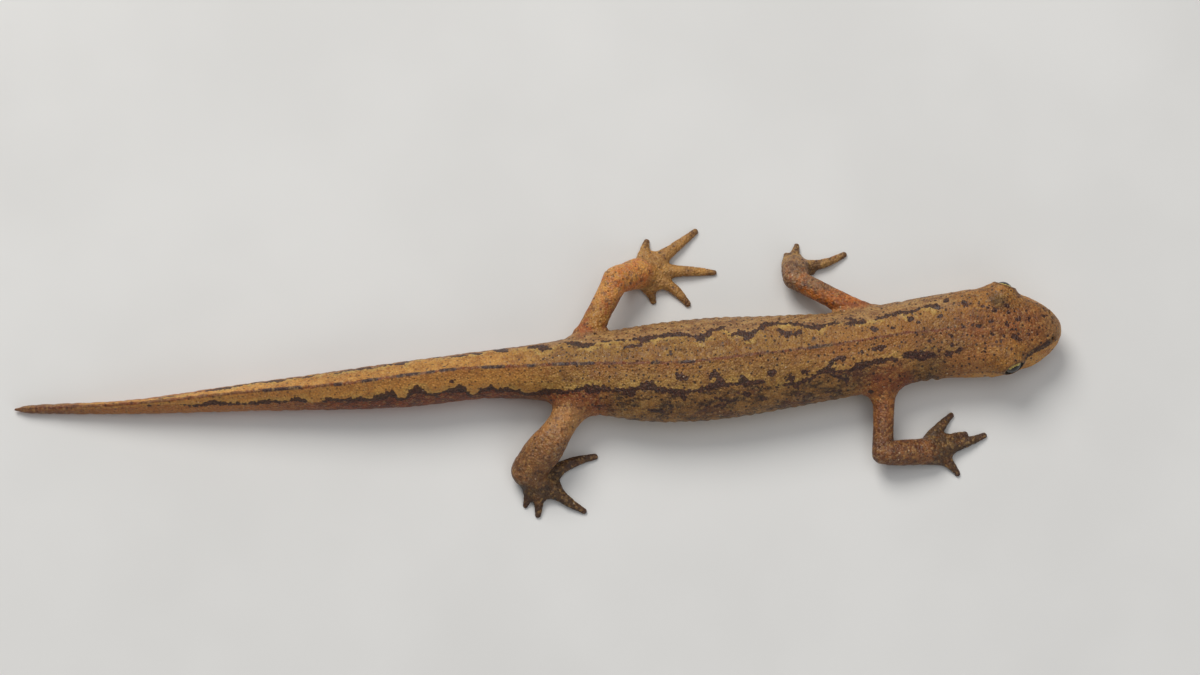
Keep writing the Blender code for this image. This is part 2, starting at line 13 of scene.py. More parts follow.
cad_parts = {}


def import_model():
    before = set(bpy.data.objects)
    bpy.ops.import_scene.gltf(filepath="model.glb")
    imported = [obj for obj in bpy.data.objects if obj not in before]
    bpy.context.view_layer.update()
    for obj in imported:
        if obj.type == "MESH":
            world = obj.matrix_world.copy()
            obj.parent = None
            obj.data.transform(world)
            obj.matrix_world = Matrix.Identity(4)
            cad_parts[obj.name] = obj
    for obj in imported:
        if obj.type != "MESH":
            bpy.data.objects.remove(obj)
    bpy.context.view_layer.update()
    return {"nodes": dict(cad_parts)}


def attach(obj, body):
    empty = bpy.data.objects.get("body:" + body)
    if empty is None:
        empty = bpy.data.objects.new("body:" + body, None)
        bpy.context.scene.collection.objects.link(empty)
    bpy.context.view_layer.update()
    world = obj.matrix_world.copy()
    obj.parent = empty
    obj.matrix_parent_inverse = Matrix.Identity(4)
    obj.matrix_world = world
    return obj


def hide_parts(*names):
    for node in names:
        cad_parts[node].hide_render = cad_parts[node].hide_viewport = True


METRES_PER_MM = 0.001
FRAME_SHIFT = np.array((0.0276, -0.0519, 0.0))

# Stations along the body: X, Y of the middle line, half width, top, underside, height of the
# widest line, and how steeply the back is drawn up
BODY = np.array((
    (-42.40, -3.25, 0.30, 0.75, -0.04, 0.35, 1.20),
    (-38.50, -3.23, 0.42, 1.25, -0.06, 0.55, 1.30),
    (-33.60, -3.18, 0.52, 1.95, -0.07, 0.85, 1.40),
    (-23.60, -2.54, 1.06, 3.45, -0.09, 1.50, 1.40),
    (-10.20, -1.54, 1.83, 4.65, -0.10, 2.10, 1.30),
    (-3.20, -0.75, 1.95, 4.85, -0.02, 2.25, 1.15),
    (1.00, -0.62, 2.40, 5.00, -0.06, 2.35, 1.05),
    (5.20, -0.75, 3.40, 5.20, -0.08, 2.45, 0.98),
    (8.50, -0.78, 3.94, 5.45, -0.12, 2.50, 0.95),
    (14.00, -0.42, 4.22, 5.60, -0.13, 2.50, 0.95),
    (20.10, 0.19, 3.84, 5.50, -0.12, 2.55, 0.95),
    (26.20, 1.00, 3.44, 5.25, 0.02, 2.60, 0.92),
    (30.20, 1.86, 3.40, 4.98, 0.60, 2.55, 0.88),
    (33.00, 2.34, 3.46, 4.95, 0.82, 2.40, 0.82),
    (36.10, 2.63, 3.62, 5.00, 0.84, 2.25, 0.78),
    (38.10, 2.80, 3.28, 4.78, 0.92, 2.20, 0.78),
    (39.30, 2.82, 3.02, 4.58, 1.00, 2.12, 0.80),
    (42.45, 3.06, 2.12, 4.22, 1.20, 2.35, 0.90),
))
BELLY_ROUNDNESS = 0.92
TAIL_ROUNDING = -40.60
SNOUT_ROUNDING = 39.30

# Head details, as distance along the body, distance from the middle line and height
LEFT_EYE = (37.83, 2.72, 3.54)
RIGHT_EYE = (38.03, 2.70, 3.54)
EYE_RADIUS = 1.02
LID_RADIUS = 1.14
BROW_PLACE = (37.40, 2.20, 3.26)
BROW_SIZE = (1.80, 1.54, 1.52)
EYE_OPENING = (0.86, 0.70, 0.78)
LEFT_GAZE = (0.36, 0.93, 0.26)
RIGHT_GAZE = (0.40, 0.91, 0.10)
NOSTRIL_PLACE = (41.62, 1.05, 3.32)
MOUTH_CORNER = 36.60
MOUTH_HEIGHTS = (1.92, 1.72, 2.02)
FACE_STRIPE = (
    (33.0, 36.0, 37.75, 39.30, 40.20, 41.10, 41.70, 42.20),
    (3.15, 3.35, 3.50, 3.72, 3.77, 3.52, 3.28, 2.90),
)
FAR_LID = (37.45, 1.95, 4.45)
MARK_WIDTH = 1.08

# Legs: three joints each, radii of the upper and lower segment, palm or sole, and digits. Each
# digit has X and Y of its root, X and Y of its tip, its radius at the root, and how far its
# middle is bent to the left
ARM_RADII = ((0.92, 0.84, 0.86), (0.92, 1.06, 0.92))
LEGS = {
    "arm_left": (
        ((27.00, 4.00, 2.50), (21.00, 7.30, 1.90), (21.10, 8.45, 1.10)), ARM_RADII,
        ((20.95, 8.95, 0.50), (0.88, 0.84, 0.50), 35.0),
        (
            (21.45, 8.60, 22.70, 8.35, 0.34, 0.00),
            (21.60, 8.80, 25.35, 9.95, 0.40, -0.28),
            (21.10, 9.30, 21.30, 10.85, 0.36, 0.05),
            (20.65, 9.20, 20.30, 10.05, 0.34, 0.00),
        ),
    ),
    "arm_right": (
        ((28.15, -0.40, 2.60), (27.95, -7.25, 1.70), (31.60, -6.90, 0.95)), ARM_RADII,
        ((32.55, -6.50, 0.50), (1.20, 1.25, 0.50), 15.0),
        (
            (31.80, -5.90, 33.80, -3.50, 0.46, 0.06),
            (32.95, -6.05, 34.95, -5.15, 0.38, 0.08),
            (33.05, -6.55, 36.50, -5.30, 0.44, -0.08),
            (32.30, -7.10, 34.25, -8.70, 0.44, 0.18),
        ),
    ),
    "leg_left": (
        ((3.70, 1.50, 2.60), (6.45, 6.95, 2.90), (8.20, 7.95, 1.25)),
        ((1.20, 0.98, 1.12), (1.12, 1.18, 1.14)),
        ((9.35, 8.35, 0.52), (1.40, 1.70, 0.52), 5.0),
        (
            (8.95, 7.10, 9.60, 5.70, 0.38, 0.06),
            (9.70, 7.75, 12.50, 5.55, 0.46, 0.24),
            (10.00, 8.35, 14.70, 8.35, 0.47, 0.05),
            (9.75, 9.20, 13.15, 12.00, 0.47, -0.04),
            (8.75, 9.40, 9.00, 11.20, 0.44, 0.05),
        ),
    ),
    "leg_right": (
        ((3.90, -2.10, 2.50), (1.25, -6.42, 2.90), (-0.70, -8.58, 1.25)),
        ((1.45, 1.16, 1.35), (1.35, 1.50, 1.18)),
        ((0.40, -9.42, 0.52), (1.55, 1.30, 0.52), -25.0),
        (
            (0.90, -8.90, 2.75, -7.72, 0.36, 0.05),
            (1.00, -8.78, 4.95, -7.05, 0.50, 0.24),
            (1.20, -9.78, 4.05, -11.80, 0.47, -0.12),
            (0.15, -10.18, 0.15, -12.20, 0.42, 0.04),
            (-0.45, -10.00, -0.95, -11.40, 0.38, 0.00),
        ),
    ),
}
DIGIT_TIP_RADIUS = 0.24
DIGIT_ROOT_FLARE = 0.14
DIGIT_TAPER = 1.6
DIGIT_FLATTENING = 0.84
LIMB_FLATTENING = 0.92

# Relief: steps between the grooves of the flanks, folds beside the neck as place, lean, width
# and depth, and grain as height, size, seed and whether the lips and lids are spared
GROOVE_STEP = 1.72
TAIL_GROOVE_STEP = 1.45
NECK_FOLDS = ((31.3, 0.35, 0.20, 0.07), (29.5, 0.25, 0.22, 0.05))
GRAIN = ((0.024, 0.85, 5, 0), (0.011, 0.34, 8, 0), (0.012, 0.19, 13, 1))
DOT_EDGE = 0.03

# How softly one form runs into the next
LEG_BLENDS = {"arm_left": 1.10, "arm_right": 1.60, "leg_left": 0.90, "leg_right": 1.60}
JOINT_BLEND = 0.60
DIGIT_BLEND = 0.45
BROW_BLEND = 0.70
LID_BLEND = 0.45
RIM_BLEND = 0.08

# The meshes: box and cells of the skin, rings and sides of an eye, the rise of its clear bulge,
# and a value that stands for far away
SKIN_LOW = (-43.2, -13.4, -0.60)
SKIN_HIGH = (43.2, 13.4, 6.20)
CELL = 0.080
EYE_RINGS = 72
EYE_SIDES = 96
CORNEA_RISE = 0.075
FAR = 3.0

# The studio, in metres: lights with place, size, power and tint, the sky, the floor and the camera
LIGHTS = (
    ("key", (-0.16, 0.34, 0.42), 0.34, 2.3, (1.0, 0.98, 0.95)),
    ("front", (0.25, -0.42, 0.30), 0.40, 0.48, (0.98, 0.98, 1.0)),
    ("top", (0.10, 0.02, 0.60), 0.50, 0.75, (1.0, 1.0, 1.0)),
)
SKY_TINT = (0.9, 0.95, 1.0, 1.0)
SKY_STRENGTH = 0.22
FLOOR_HALF = 1.5
CAMERA_TARGET = (0.005116, 0.002275, 0.0025)
SEEN_WIDTH = 0.0972
LENS = 135.0
FILM = 36.0

# The view from which the markings are placed: its scale, its zero and its tilt
VIEW_SCALE = 0.081
VIEW_ZERO = (536.5, 372.0)
VIEW_TILT = math.radians(75.0)

# Dark lines and blotches of the back as seen in that view: column, row, half width in
# hundredths of a mm. A negative width is a gap in the line
LEFT_LINE = (
    (372, 368.5, 8), (390, 364.5, 12), (404, 363.5, 18), (412, 360.5, 18), (420, 359.5, 0),
    (428, 359.5, -30), (437, 357.5, 15), (444, 358.5, -30), (452, 356.5, 9), (462, 355.5, 22),
    (467, 355.5, -30), (472, 353.5, 18), (480, 353.5, 15), (486, 351.5, -30), (494, 349.5, 27),
    (500, 349.5, 45), (505, 351.5, 21), (512, 349, -30), (524, 347, -10), (530, 347, 22),
    (538, 346, 24), (545, 348, 30), (551, 349, 6), (557, 345, -30), (565, 342, 8), (572, 343, 24),
    (582, 345, 28), (588, 345, 20), (594, 343, 12), (606, 341, 10), (620, 340, 9), (632, 339, 10),
    (640, 339, 24), (650, 338, 22), (660, 336, 16), (668, 335, 22), (676, 334, 24), (684, 335, 15),
    (692, 336, 10), (699, 338, 32), (706, 335, 26), (710, 331, 18), (716, 329, 16), (722, 327, 16),
    (726, 331, -10), (732, 334, 12), (739, 333, 22), (747, 336, 34), (753, 332, 18), (758, 329, 14),
    (764, 324, 24), (772, 323, 18), (780, 324, 8), (790, 323, 8), (800, 325, 16), (808, 327, 18),
    (818, 327, 24), (824, 324, 10), (832, 323, 14), (841, 323, 11), (850, 323, 17), (861, 322, 21),
    (867, 320, -20), (875, 319, 12), (885, 316, 12), (897, 313, 14), (905, 313, 16), (912, 311, 10),
    (920, 308, 5), (928, 306, 12), (934, 307, 28), (937, 309, 10),
)
RIGHT_LINE = (
    (150, 405, 10), (175, 405, -10), (200, 405, 14), (215, 403, 22), (235, 404, 10), (250, 404, 14),
    (270, 401, 20), (286, 402, 6), (300, 399, 18), (307, 401, 12), (314, 403, -20), (324, 402, -5),
    (330, 399, 17), (340, 401, 11), (352, 399, 17), (362, 399, 16), (371, 400, 6), (378, 398, 25),
    (388, 395, 27), (394, 394, 24), (399, 399, 10), (408, 398, 10), (413, 391, 20), (418, 389, 27),
    (424, 392, 22), (430, 394, 8), (438, 395, 12), (444, 392, 16), (452, 390, 20), (460, 388, 28),
    (466, 391, 20), (472, 396, 6), (478, 393, 12), (484, 391, 18), (492, 387, 24), (498, 390, 14),
    (508, 389, 14), (518, 391, 20), (528, 394, 20), (537, 393, 16), (546, 391, 30), (556, 391, 20),
    (566, 391, 12), (576, 389, 14), (586, 387, 20), (592, 389, 34), (599, 388, 26), (608, 390, 14),
    (620, 390, 14), (632, 389, 18), (642, 386, 20), (650, 385, 30), (656, 388, 20), (668, 390, 18),
    (680, 391, 16), (690, 391, 14), (700, 389, 16), (712, 385, 24), (719, 382, 30), (725, 384, 14),
    (736, 383, 12), (744, 382, 36), (752, 383, 16), (762, 382, 14), (770, 386, -12), (778, 387, 8),
    (786, 384, 13), (796, 382, 12), (806, 379, 14), (816, 374, 14), (826, 369, 20), (834, 371, 10),
    (842, 371, 5), (850, 369, 12), (857, 366, 28), (868, 363, 22), (876, 361, 14), (884, 360, 14),
    (892, 359, 20), (900, 358, 6), (906, 354, 22), (914, 353, 20), (922, 353, 14), (930, 354, 24),
    (937, 355, -15), (944, 354, 12), (950, 352, 10), (957, 349, 20),
)
SIDE_BRANCHES = (
    ((676, 374, 16), (681, 376, 26), (686, 378, 16)),
    ((711, 376, 20), (714, 373, 24), (718, 379, 18)), ((742, 376, 20), (744, 380, 30)),
    ((768, 373, 16), (773, 372, 16)), ((786, 379, 16), (790, 378, 28)),
    ((800, 371, 14), (805, 372, 13)),
    ((827, 368, 16), (831, 361, 16), (838, 358, 18), (844, 358, 5)),
    ((624, 347, 8), (631, 346, 17), (640, 345, 12)),
    ((778, 330, 12), (784, 334, 28), (792, 334, 18), (800, 331, 12)),
    ((872, 349, 14), (878, 348, 28), (882, 346, 12)), ((845, 318, 10), (853, 320, 12)),
    ((870, 328, 12), (873, 331, 18)), ((624, 393, 14), (633, 395, 15)),
    ((905, 357, 10), (918, 358, 12), (932, 356, 12)),
)
FLANK_DASHES = (
    ((595, 405, 8), (604, 406, 10)), ((648, 410, 8), (664, 411, 12)),
    ((681, 393, 20), (684, 398, 14)), ((712, 397, 10), (722, 398, 12)),
    ((700, 405, 6), (724, 405, 9)), ((738, 394, 10), (748, 394, 12)),
    ((830, 375, 12), (846, 380, 16)), ((826, 392, 8), (838, 390, 10)),
    ((870, 391, 10), (888, 389, 12)), ((792, 386, 8), (796, 387, 8)),
    ((560, 399, 12), (575, 401, 8)), ((760, 398, 6), (768, 400, 10)),
)
SPINE_LINE = (
    (200, 396.5), (280, 389), (345, 383.5), (410, 374.5), (450, 369.5), (497, 366.8), (532, 365.5),
    (561, 364), (601, 363), (650, 362.5), (691, 361.4), (744, 355), (785, 350.5), (826, 345.5),
    (860, 340), (903, 333), (936, 330.5), (985, 326), (1030, 322),
)
SPINE_DASHES = (273, 292, 340, 372, 410, 432, 449, 494, 532, 561, 583, 655, 686, 818)
SPOTS = (
    (945, 301, 20), (945, 309, 18), (963, 304, 26), (938, 316, 18), (909, 319, 20), (891, 328, 12),
    (975, 298, 14), (981, 306, 16), (986, 308, 16), (993, 311, 16), (1004, 307, 18),
    (1006, 313, 15), (1013, 309, 14), (1025, 310, 15), (1043, 313, 18), (1051, 318, 10),
    (962, 321, 15), (977, 326, 20), (988, 322, 18), (1005, 325, 15), (1017, 319, 16),
    (1027, 319, 14), (950, 336, 15), (949, 345, 15), (946, 352, 14), (981, 351, 15), (984, 345, 13),
    (994, 341, 14), (999, 341, 16), (1001, 336, 15), (1012, 337, 20), (1016, 339, 18),
    (1017, 334, 11), (1024, 336, 11), (1027, 334, 12), (1035, 333, 10), (1043, 330, 11),
    (1050, 326, 14), (928, 340, 12), (936, 350, 15), (931, 347, 10), (960, 327, 12), (970, 325, 12),
    (1011, 330, 10), (990, 334, 10), (453, 380, 14), (482, 388, 12), (446, 366, 10), (700, 366, 8),
    (916, 322, 9), (897, 346, 10), (859, 352, 9), (975, 338, 10), (1008, 349, 12), (998, 346, 10),
    (812, 338, 10), (638, 360, 11), (670, 352, 11), (927, 340, 11),
)


def hermite(values, places, at):
    """A smooth curve through station values, read at many places."""
    slopes = np.gradient(values, places)
    at = np.clip(at, places[0], places[-1])
    index = np.clip(np.searchsorted(places, at) - 1, 0, len(places) - 2)
    width = places[index + 1] - places[index]
    t = (at - places[index]) / width
    start = values[index] * (1 + 2 * t) * (1 - t) ** 2 + slopes[index] * width * t * (1 - t) ** 2
    end = values[index + 1] * t * t * (3 - 2 * t) + slopes[index + 1] * width * t * t * (t - 1)
    return start + end


FINE = np.linspace(BODY[0, 0] - 2.0, BODY[-1, 0] + 2.0, 3600)
CURVES = [hermite(BODY[:, column], BODY[:, 0], FINE) for column in range(BODY.shape[1])]
AHEAD, BEHIND = (np.interp(FINE + shift, FINE, CURVES[1]) for shift in (0.5, -0.5))
HEADINGS = np.arctan2(AHEAD - BEHIND, 1.0)


def curve(column, x):
    """One column of the body's stations at many places."""
    return np.interp(x, FINE, CURVES[column])


def heading(x):
    """Direction of the middle line at x, as an angle from the X axis."""
    return np.interp(np.minimum(x, BODY[-1, 0] - 1.0), FINE, HEADINGS)


def body_place(points):
    """Distance along the body and distance to the left of its middle line, for many points."""
    x = points[:, 0].copy()
    for _ in range(3):
        angle = heading(x)
        side = (points[:, 1] - curve(1, x)) / np.cos(angle)
        x = points[:, 0] + side * np.sin(angle)
    return x, side


def on_body(x, side, height):
    """The point that lies at a distance along the body, to the left of the middle line and up."""
    angle = float(heading(x))
    across = float(curve(1, x)) + side * math.cos(angle)
    return np.array((x - side * math.sin(angle), across, height))


def smooth_step(value, low, high):
    """0 below low, 1 above high, smooth between."""
    t = np.clip((value - low) / (high - low), 0.0, 1.0)
    return t * t * (3 - 2 * t)


def bell(value, width):
    """A smooth bump of height 1."""
    return np.exp(-(value / width) ** 2)


def smooth_min(first, second, softness):
    """The nearer of two surfaces, with a fillet where they meet."""
    near = np.maximum(softness - np.abs(first - second), 0.0) / softness
    return np.minimum(first, second) - near * near * softness * 0.25


def smooth_max(first, second, softness):
    """The farther of two surfaces, with a rounded edge where they meet."""
    return -smooth_min(-first, -second, softness)


def lattice_noise(points, size, seed):
    """Soft lumps between -1 and 1, the same on every run."""
    table = np.random.default_rng(seed).random((32, 32, 32)) * 2 - 1
    scaled = points / size
    base = np.floor(scaled).astype(np.int64)
    t = scaled - base
    t = t * t * (3 - 2 * t)
    total = np.zeros(len(points))
    for corner in range(8):
        step = np.array((corner & 1, corner >> 1 & 1, corner >> 2 & 1))
        weight = np.prod(np.where(step, t, 1 - t), axis=1)
        cell = (base + step) % 32
        total += weight * table[cell[:, 0], cell[:, 1], cell[:, 2]]
    return total


def within(points, low, high, margin):
    """Which points lie in a box grown by a margin."""
    return np.all((points > low - margin) & (points < high + margin), axis=1)


def body_field(points):
    """Signed distance to the body, without legs and lids."""
    x, side = body_place(points)
    up = points[:, 2] - curve(5, x)
    above = curve(3, x) - curve(5, x)
    below = curve(5, x) - curve(4, x)
    span = np.where(up > 0, above, below)
    power = np.where(up > 0, 2 / curve(6, x), 2 / BELLY_ROUNDNESS)
    past_snout = np.maximum(x - SNOUT_ROUNDING, 0.0)
    past_tail = np.maximum(TAIL_ROUNDING - x, 0.0)
    end = past_snout / (BODY[-1, 0] - SNOUT_ROUNDING) + past_tail / (TAIL_ROUNDING - BODY[0, 0])
    size = np.sqrt((np.abs(side) / curve(2, x)) ** power + (up / span) ** 2 + end ** 2)
    radius = np.sqrt(side ** 2 + up ** 2 + past_snout ** 2 + past_tail ** 2)
    return radius * (1 - 1 / np.maximum(size, 0.05)) + np.where(size < 0.05, -1.0, 0.0)


def ellipsoid_field(points, middle, size, turn):
    """Signed distance to an ellipsoid, good near its surface."""
    local = (points - middle) @ turn
    size = np.array(size)
    scaled = np.sqrt(((local / size) ** 2).sum(axis=1))
    steep = np.sqrt(((local / size ** 2) ** 2).sum(axis=1))
    return scaled * (scaled - 1) / np.maximum(steep, 1e-6)


def tube_field(points, path, radii, flattening=1.0):
    """Signed distance to a tube along a path."""
    result = np.full(len(points), FAR)
    path = np.array(path)
    inside = within(points, path.min(axis=0), path.max(axis=0), max(radii) + FAR * 0.7)
    near = points[inside]
    best = np.full(len(near), FAR)
    for start, end, first, last in zip(path, path[1:], radii, radii[1:]):
        along = end - start
        t = np.clip((near - start) @ along / (along @ along), 0, 1)
        gap = near - start - t[:, None] * along
        ahead = along / np.linalg.norm(along)
        upward = np.array((0.0, 0.0, 1.0)) - ahead * ahead[2]
        lift = gap @ (upward / np.linalg.norm(upward))
        squared = (gap ** 2).sum(axis=1) + lift ** 2 * (1 / flattening ** 2 - 1)
        best = np.minimum(best, np.sqrt(squared) - first - (last - first) * t)
    result[inside] = best
    return result


def swelling(radii, t):
    """Radius along a limb segment."""
    first, middle, last = radii
    bulge = middle - 0.5 * (first + last)
    return first + (last - first) * t + bulge * 4 * t * (1 - t)


def level_turn(degrees):
    """Axes of a shape that is turned about the vertical."""
    return np.array(Matrix.Rotation(math.radians(degrees), 3, "Z"))


def digit_path(digit):
    """Middle line and radii of a finger or toe, with faint knuckles."""
    start = np.array((*digit[:2], 0.0))
    end = np.array((*digit[2:4], 0.0))
    along = (end - start) / np.linalg.norm(end - start)
    leftward = np.array((-along[1], along[0], 0.0))
    end -= along * DIGIT_TIP_RADIUS
    path = []
    radii = []
    for step in range(11):
        t = step / 10
        radius = digit[4] + (DIGIT_TIP_RADIUS - digit[4]) * t ** DIGIT_TAPER
        radius += DIGIT_ROOT_FLARE * (1 - t) ** 2
        radius *= 1 - 0.05 * (1 - t) * math.cos(t * 2.5 * math.tau)
        point = start + (end - start) * t + leftward * digit[5] * math.sin(math.pi * t)
        point[2] = radius * DIGIT_FLATTENING - 0.06 + 0.10 * math.sin(math.pi * t)
        path.append(point)
        radii.append(radius)
    return path, radii


def leg_path(joints, radii):
    """Middle line and radii of a leg from its root to its wrist or ankle."""
    path = []
    sizes = []
    for start, end, swell in ((joints[0], joints[1], radii[0]), (joints[1], joints[2], radii[1])):
        for step in range(7):
            t = step / 6
            path.append(np.array(start) * (1 - t) + np.array(end) * t)
            sizes.append(swelling(swell, t))
    del path[7]
    del sizes[7]
    return path, sizes


def leg_fields(points, leg):
    """Signed distances to a leg as a whole, and to its palm and digits alone."""
    joints, radii, (middle, size, degrees), digits = leg
    path, sizes = leg_path(joints, radii)
    limb = tube_field(points, path, sizes, LIMB_FLATTENING)
    palm = np.array(middle)
    foot = np.full(len(points), FAR)
    pads = np.full(len(points), FAR)
    reach = np.array([(*digit[2:4], 0.0) for digit in digits] + [middle, joints[2]])
    inside = within(points, reach.min(axis=0), reach.max(axis=0), 2.5)
    near = points[inside]
    part = ellipsoid_field(near, palm, size, level_turn(degrees))
    for digit in digits:
        part = smooth_min(part, tube_field(near, *digit_path(digit), DIGIT_FLATTENING), DIGIT_BLEND)
    pads[inside] = part
    last = 0.62 * min(size[0], size[1])
    wrist = [np.array(joints[2]) * (1 - t) + palm * t for t in (0.0, 0.33, 0.67, 1.0)]
    wrist_radii = [radii[1][2] + (last - radii[1][2]) * t for t in (0.0, 0.33, 0.67, 1.0)]
    part = smooth_min(part, tube_field(near, wrist, wrist_radii, LIMB_FLATTENING), JOINT_BLEND)
    foot[inside] = part
    return smooth_min(limb, foot, JOINT_BLEND), pads


def eye_middle(mirror):
    """Middle of the left eyeball, or of the right one."""
    place, side, height = LEFT_EYE if mirror > 0 else RIGHT_EYE
    return on_body(place, side * mirror, height)


def gaze_axes(mirror):
    """Axes at an eye, as columns: level forward, along the gaze, and up."""
    angle = float(heading(LEFT_EYE[0]))
    forward, outward, upward = LEFT_GAZE if mirror > 0 else RIGHT_GAZE
    along = Vector((math.cos(angle), math.sin(angle), 0.0)) * forward
    across = Vector((-math.sin(angle), math.cos(angle), 0.0)) * outward * mirror
    out = (along + across + Vector((0.0, 0.0, upward))).normalized()
    level = out.cross(Vector((0.0, 0.0, 1.0))).normalized()
    return np.array(Matrix((level, out, level.cross(out))).transposed())


def opening_field(points, mirror):
    """Signed distance to the opening between the lids of one eye."""
    axes = gaze_axes(mirror)
    middle = eye_middle(mirror) + axes[:, 1] * EYE_RADIUS
    return ellipsoid_field(points, middle, EYE_OPENING, axes)


def skin_field(points):
    """Signed distance to the whole skin."""
    field = body_field(points)
    head = np.flatnonzero(points[:, 0] > 34.0)
    if len(head):
        near = points[head]
        part = field[head]
        turn = level_turn(math.degrees(float(heading(BROW_PLACE[0]))))
        for mirror in (1, -1):
            brow = on_body(BROW_PLACE[0], BROW_PLACE[1] * mirror, BROW_PLACE[2])
            part = smooth_min(part, ellipsoid_field(near, brow, BROW_SIZE, turn), BROW_BLEND)
            lid = np.linalg.norm(near - eye_middle(mirror), axis=1) - LID_RADIUS
            part = smooth_min(part, lid, LID_BLEND)
        for mirror in (1, -1):
            opening = opening_field(near, mirror)
            part = part - 0.03 * bell(opening - 0.10, 0.10)
            part = smooth_max(part, -opening, RIM_BLEND)
        field[head] = part
    for name, leg in LEGS.items():
        field = smooth_min(field, leg_fields(points, leg)[0], LEG_BLENDS[name])
    return field


def outward(points, reach=0.02):
    """Unit vectors that point out of the skin, and the field's slope along them."""
    centre = skin_field(points)
    slopes = np.empty_like(points)
    for axis in range(3):
        shifted = points.copy()
        shifted[:, axis] += reach
        slopes[:, axis] = (skin_field(shifted) - centre) / reach
    steep = np.linalg.norm(slopes, axis=1)
    return centre, slopes / np.maximum(steep, 1e-9)[:, None], np.maximum(steep, 0.4)


def field_grid(low, cells):
    """The field at every corner of a fine grid. Only cells near the skin are worked out finely."""
    block = 4
    coarse = CELL * block
    counts = [int(math.ceil(count / block)) for count in cells]
    half = (block - 1) / 2
    axes = [low[axis] + (np.arange(counts[axis]) * block + half) * CELL for axis in range(3)]
    middles = np.stack(np.meshgrid(*axes, indexing="ij"), axis=-1).reshape(-1, 3)
    rough = skin_field(middles)
    grid = rough.reshape(counts)
    for axis in range(3):
        grid = np.repeat(grid, block, axis=axis)
    close = np.flatnonzero(np.abs(rough) < coarse * 1.9)
    index = np.stack(np.unravel_index(close, counts), axis=1) * block
    steps = np.stack(np.meshgrid(*[np.arange(block)] * 3, indexing="ij"), axis=-1).reshape(-1, 3)
    fine = (index[:, None, :] + steps[None, :, :]).reshape(-1, 3)
    values = np.concatenate([skin_field(low + part * CELL) for part in np.array_split(fine, 12)])
    grid[fine[:, 0], fine[:, 1], fine[:, 2]] = values
    return grid


def surface_net(low, cells):
    """Points and four-sided faces of the skin, with one point in each cell that it crosses."""
    grid = field_grid(low, cells)
    inside = grid < 0
    corners = [(corner & 1, corner >> 1 & 1, corner >> 2 & 1) for corner in range(8)]
    shape = np.array(grid.shape) - 1

    def shifted(array, step):
        return array[tuple(slice(step[axis], step[axis] + shape[axis]) for axis in range(3))]

    count = sum(shifted(inside, corner).astype(np.int8) for corner in corners)
    crossed = (count > 0) & (count < 8)
    places = np.argwhere(crossed)
    number = np.full(shape, -1, dtype=np.int32)
    number[crossed] = np.arange(len(places), dtype=np.int32)
    values = np.stack([grid[tuple((places + corner).T)] for corner in corners], axis=1)
    total = np.zeros((len(places), 3))
    hits = np.zeros(len(places))
    for first in range(8):
        for axis in range(3):
            second = first | 1 << axis
            if second == first:
                continue
            near, far = values[:, first], values[:, second]
            cut = (near < 0) != (far < 0)
            t = np.where(cut, near / np.where(cut, near - far, 1.0), 0.0)
            point = np.tile(np.array(corners[first], dtype=float), (len(places), 1))
            point[:, axis] += t
            total[cut] += point[cut]
            hits[cut] += 1
    points = low + (places + total / hits[:, None]) * CELL
    faces = []
    for axis in range(3):
        one, two = (axis + 1) % 3, (axis + 2) % 3
        start = inside[tuple(slice(0, -1) if a == axis else slice(1, -1) for a in range(3))]
        end = inside[tuple(slice(1, None) if a == axis else slice(1, -1) for a in range(3))]
        crossings = np.argwhere(start != end)
        leaving = start[tuple(crossings.T)]
        offset = np.ones(3, dtype=int)
        offset[axis] = 0
        cell = crossings + offset
        ring = []
        for back_one, back_two in ((1, 1), (0, 1), (0, 0), (1, 0)):
            other = cell.copy()
            other[:, one] -= back_one
            other[:, two] -= back_two
            ring.append(number[tuple(other.T)])
        quad = np.stack(ring, axis=1)
        quad[~leaving] = quad[~leaving][:, ::-1]
        faces.append(quad)
    return points, np.concatenate(faces)


def settle(points, rounds=3):
    """Moves the points onto the skin."""
    for _ in range(rounds):
        field, out, steep = outward(points)
        step = np.clip(field / steep, -0.08, 0.08)
        points = points - out * step[:, None]
    return points


def section_height(x, side):
    """Height of the back above a place beside the middle line."""
    widest = curve(5, x)
    reach = np.clip(np.abs(side) / curve(2, x), 0, 1)
    return widest + (curve(3, x) - widest) * np.sqrt(1 - reach ** (2 / curve(6, x)))


def unrolled(x, side, height):
    """Distance from the ridge of the back, measured down over the side. Left is positive."""
    return np.copysign(np.hypot(side, curve(3, x) - height), side)


def on_back(column, row):
    """The place on the back, along and from the ridge, that is seen at a column and row."""
    ahead = (column - VIEW_ZERO[0]) * VIEW_SCALE
    sides = np.linspace(-1.0, 1.0, 401) * float(curve(2, ahead))
    x = ahead + sides * math.sin(float(heading(ahead)))
    heights = section_height(x, sides)
    depth = curve(1, x) + sides * np.cos(heading(x))
    seen = VIEW_ZERO[1] - (math.sin(VIEW_TILT) * depth + math.cos(VIEW_TILT) * heights) / VIEW_SCALE
    best = int(np.argmin(np.abs(seen - row)))
    return float(x[best]), float(unrolled(x[best], sides[best], heights[best]))


def path_distance(x, across, path):
    """Distance to a line of varying width on the unrolled skin. It is negative on the line."""
    best = np.full(len(x), FAR)
    for (x0, y0, w0), (x1, y1, w1) in zip(path, path[1:]):
        length = max((x1 - x0) ** 2 + (y1 - y0) ** 2, 1e-9)
        t = np.clip(((x - x0) * (x1 - x0) + (across - y0) * (y1 - y0)) / length, 0, 1)
        gap = np.hypot(x - x0 - t * (x1 - x0), across - y0 - t * (y1 - y0))
        best = np.minimum(best, gap - w0 - (w1 - w0) * t)
    return best


def seen_path(path):
    """A dark line as seen, laid onto the unrolled skin."""
    return [(*on_back(column, row), width / 100 * MARK_WIDTH) for column, row, width in path]


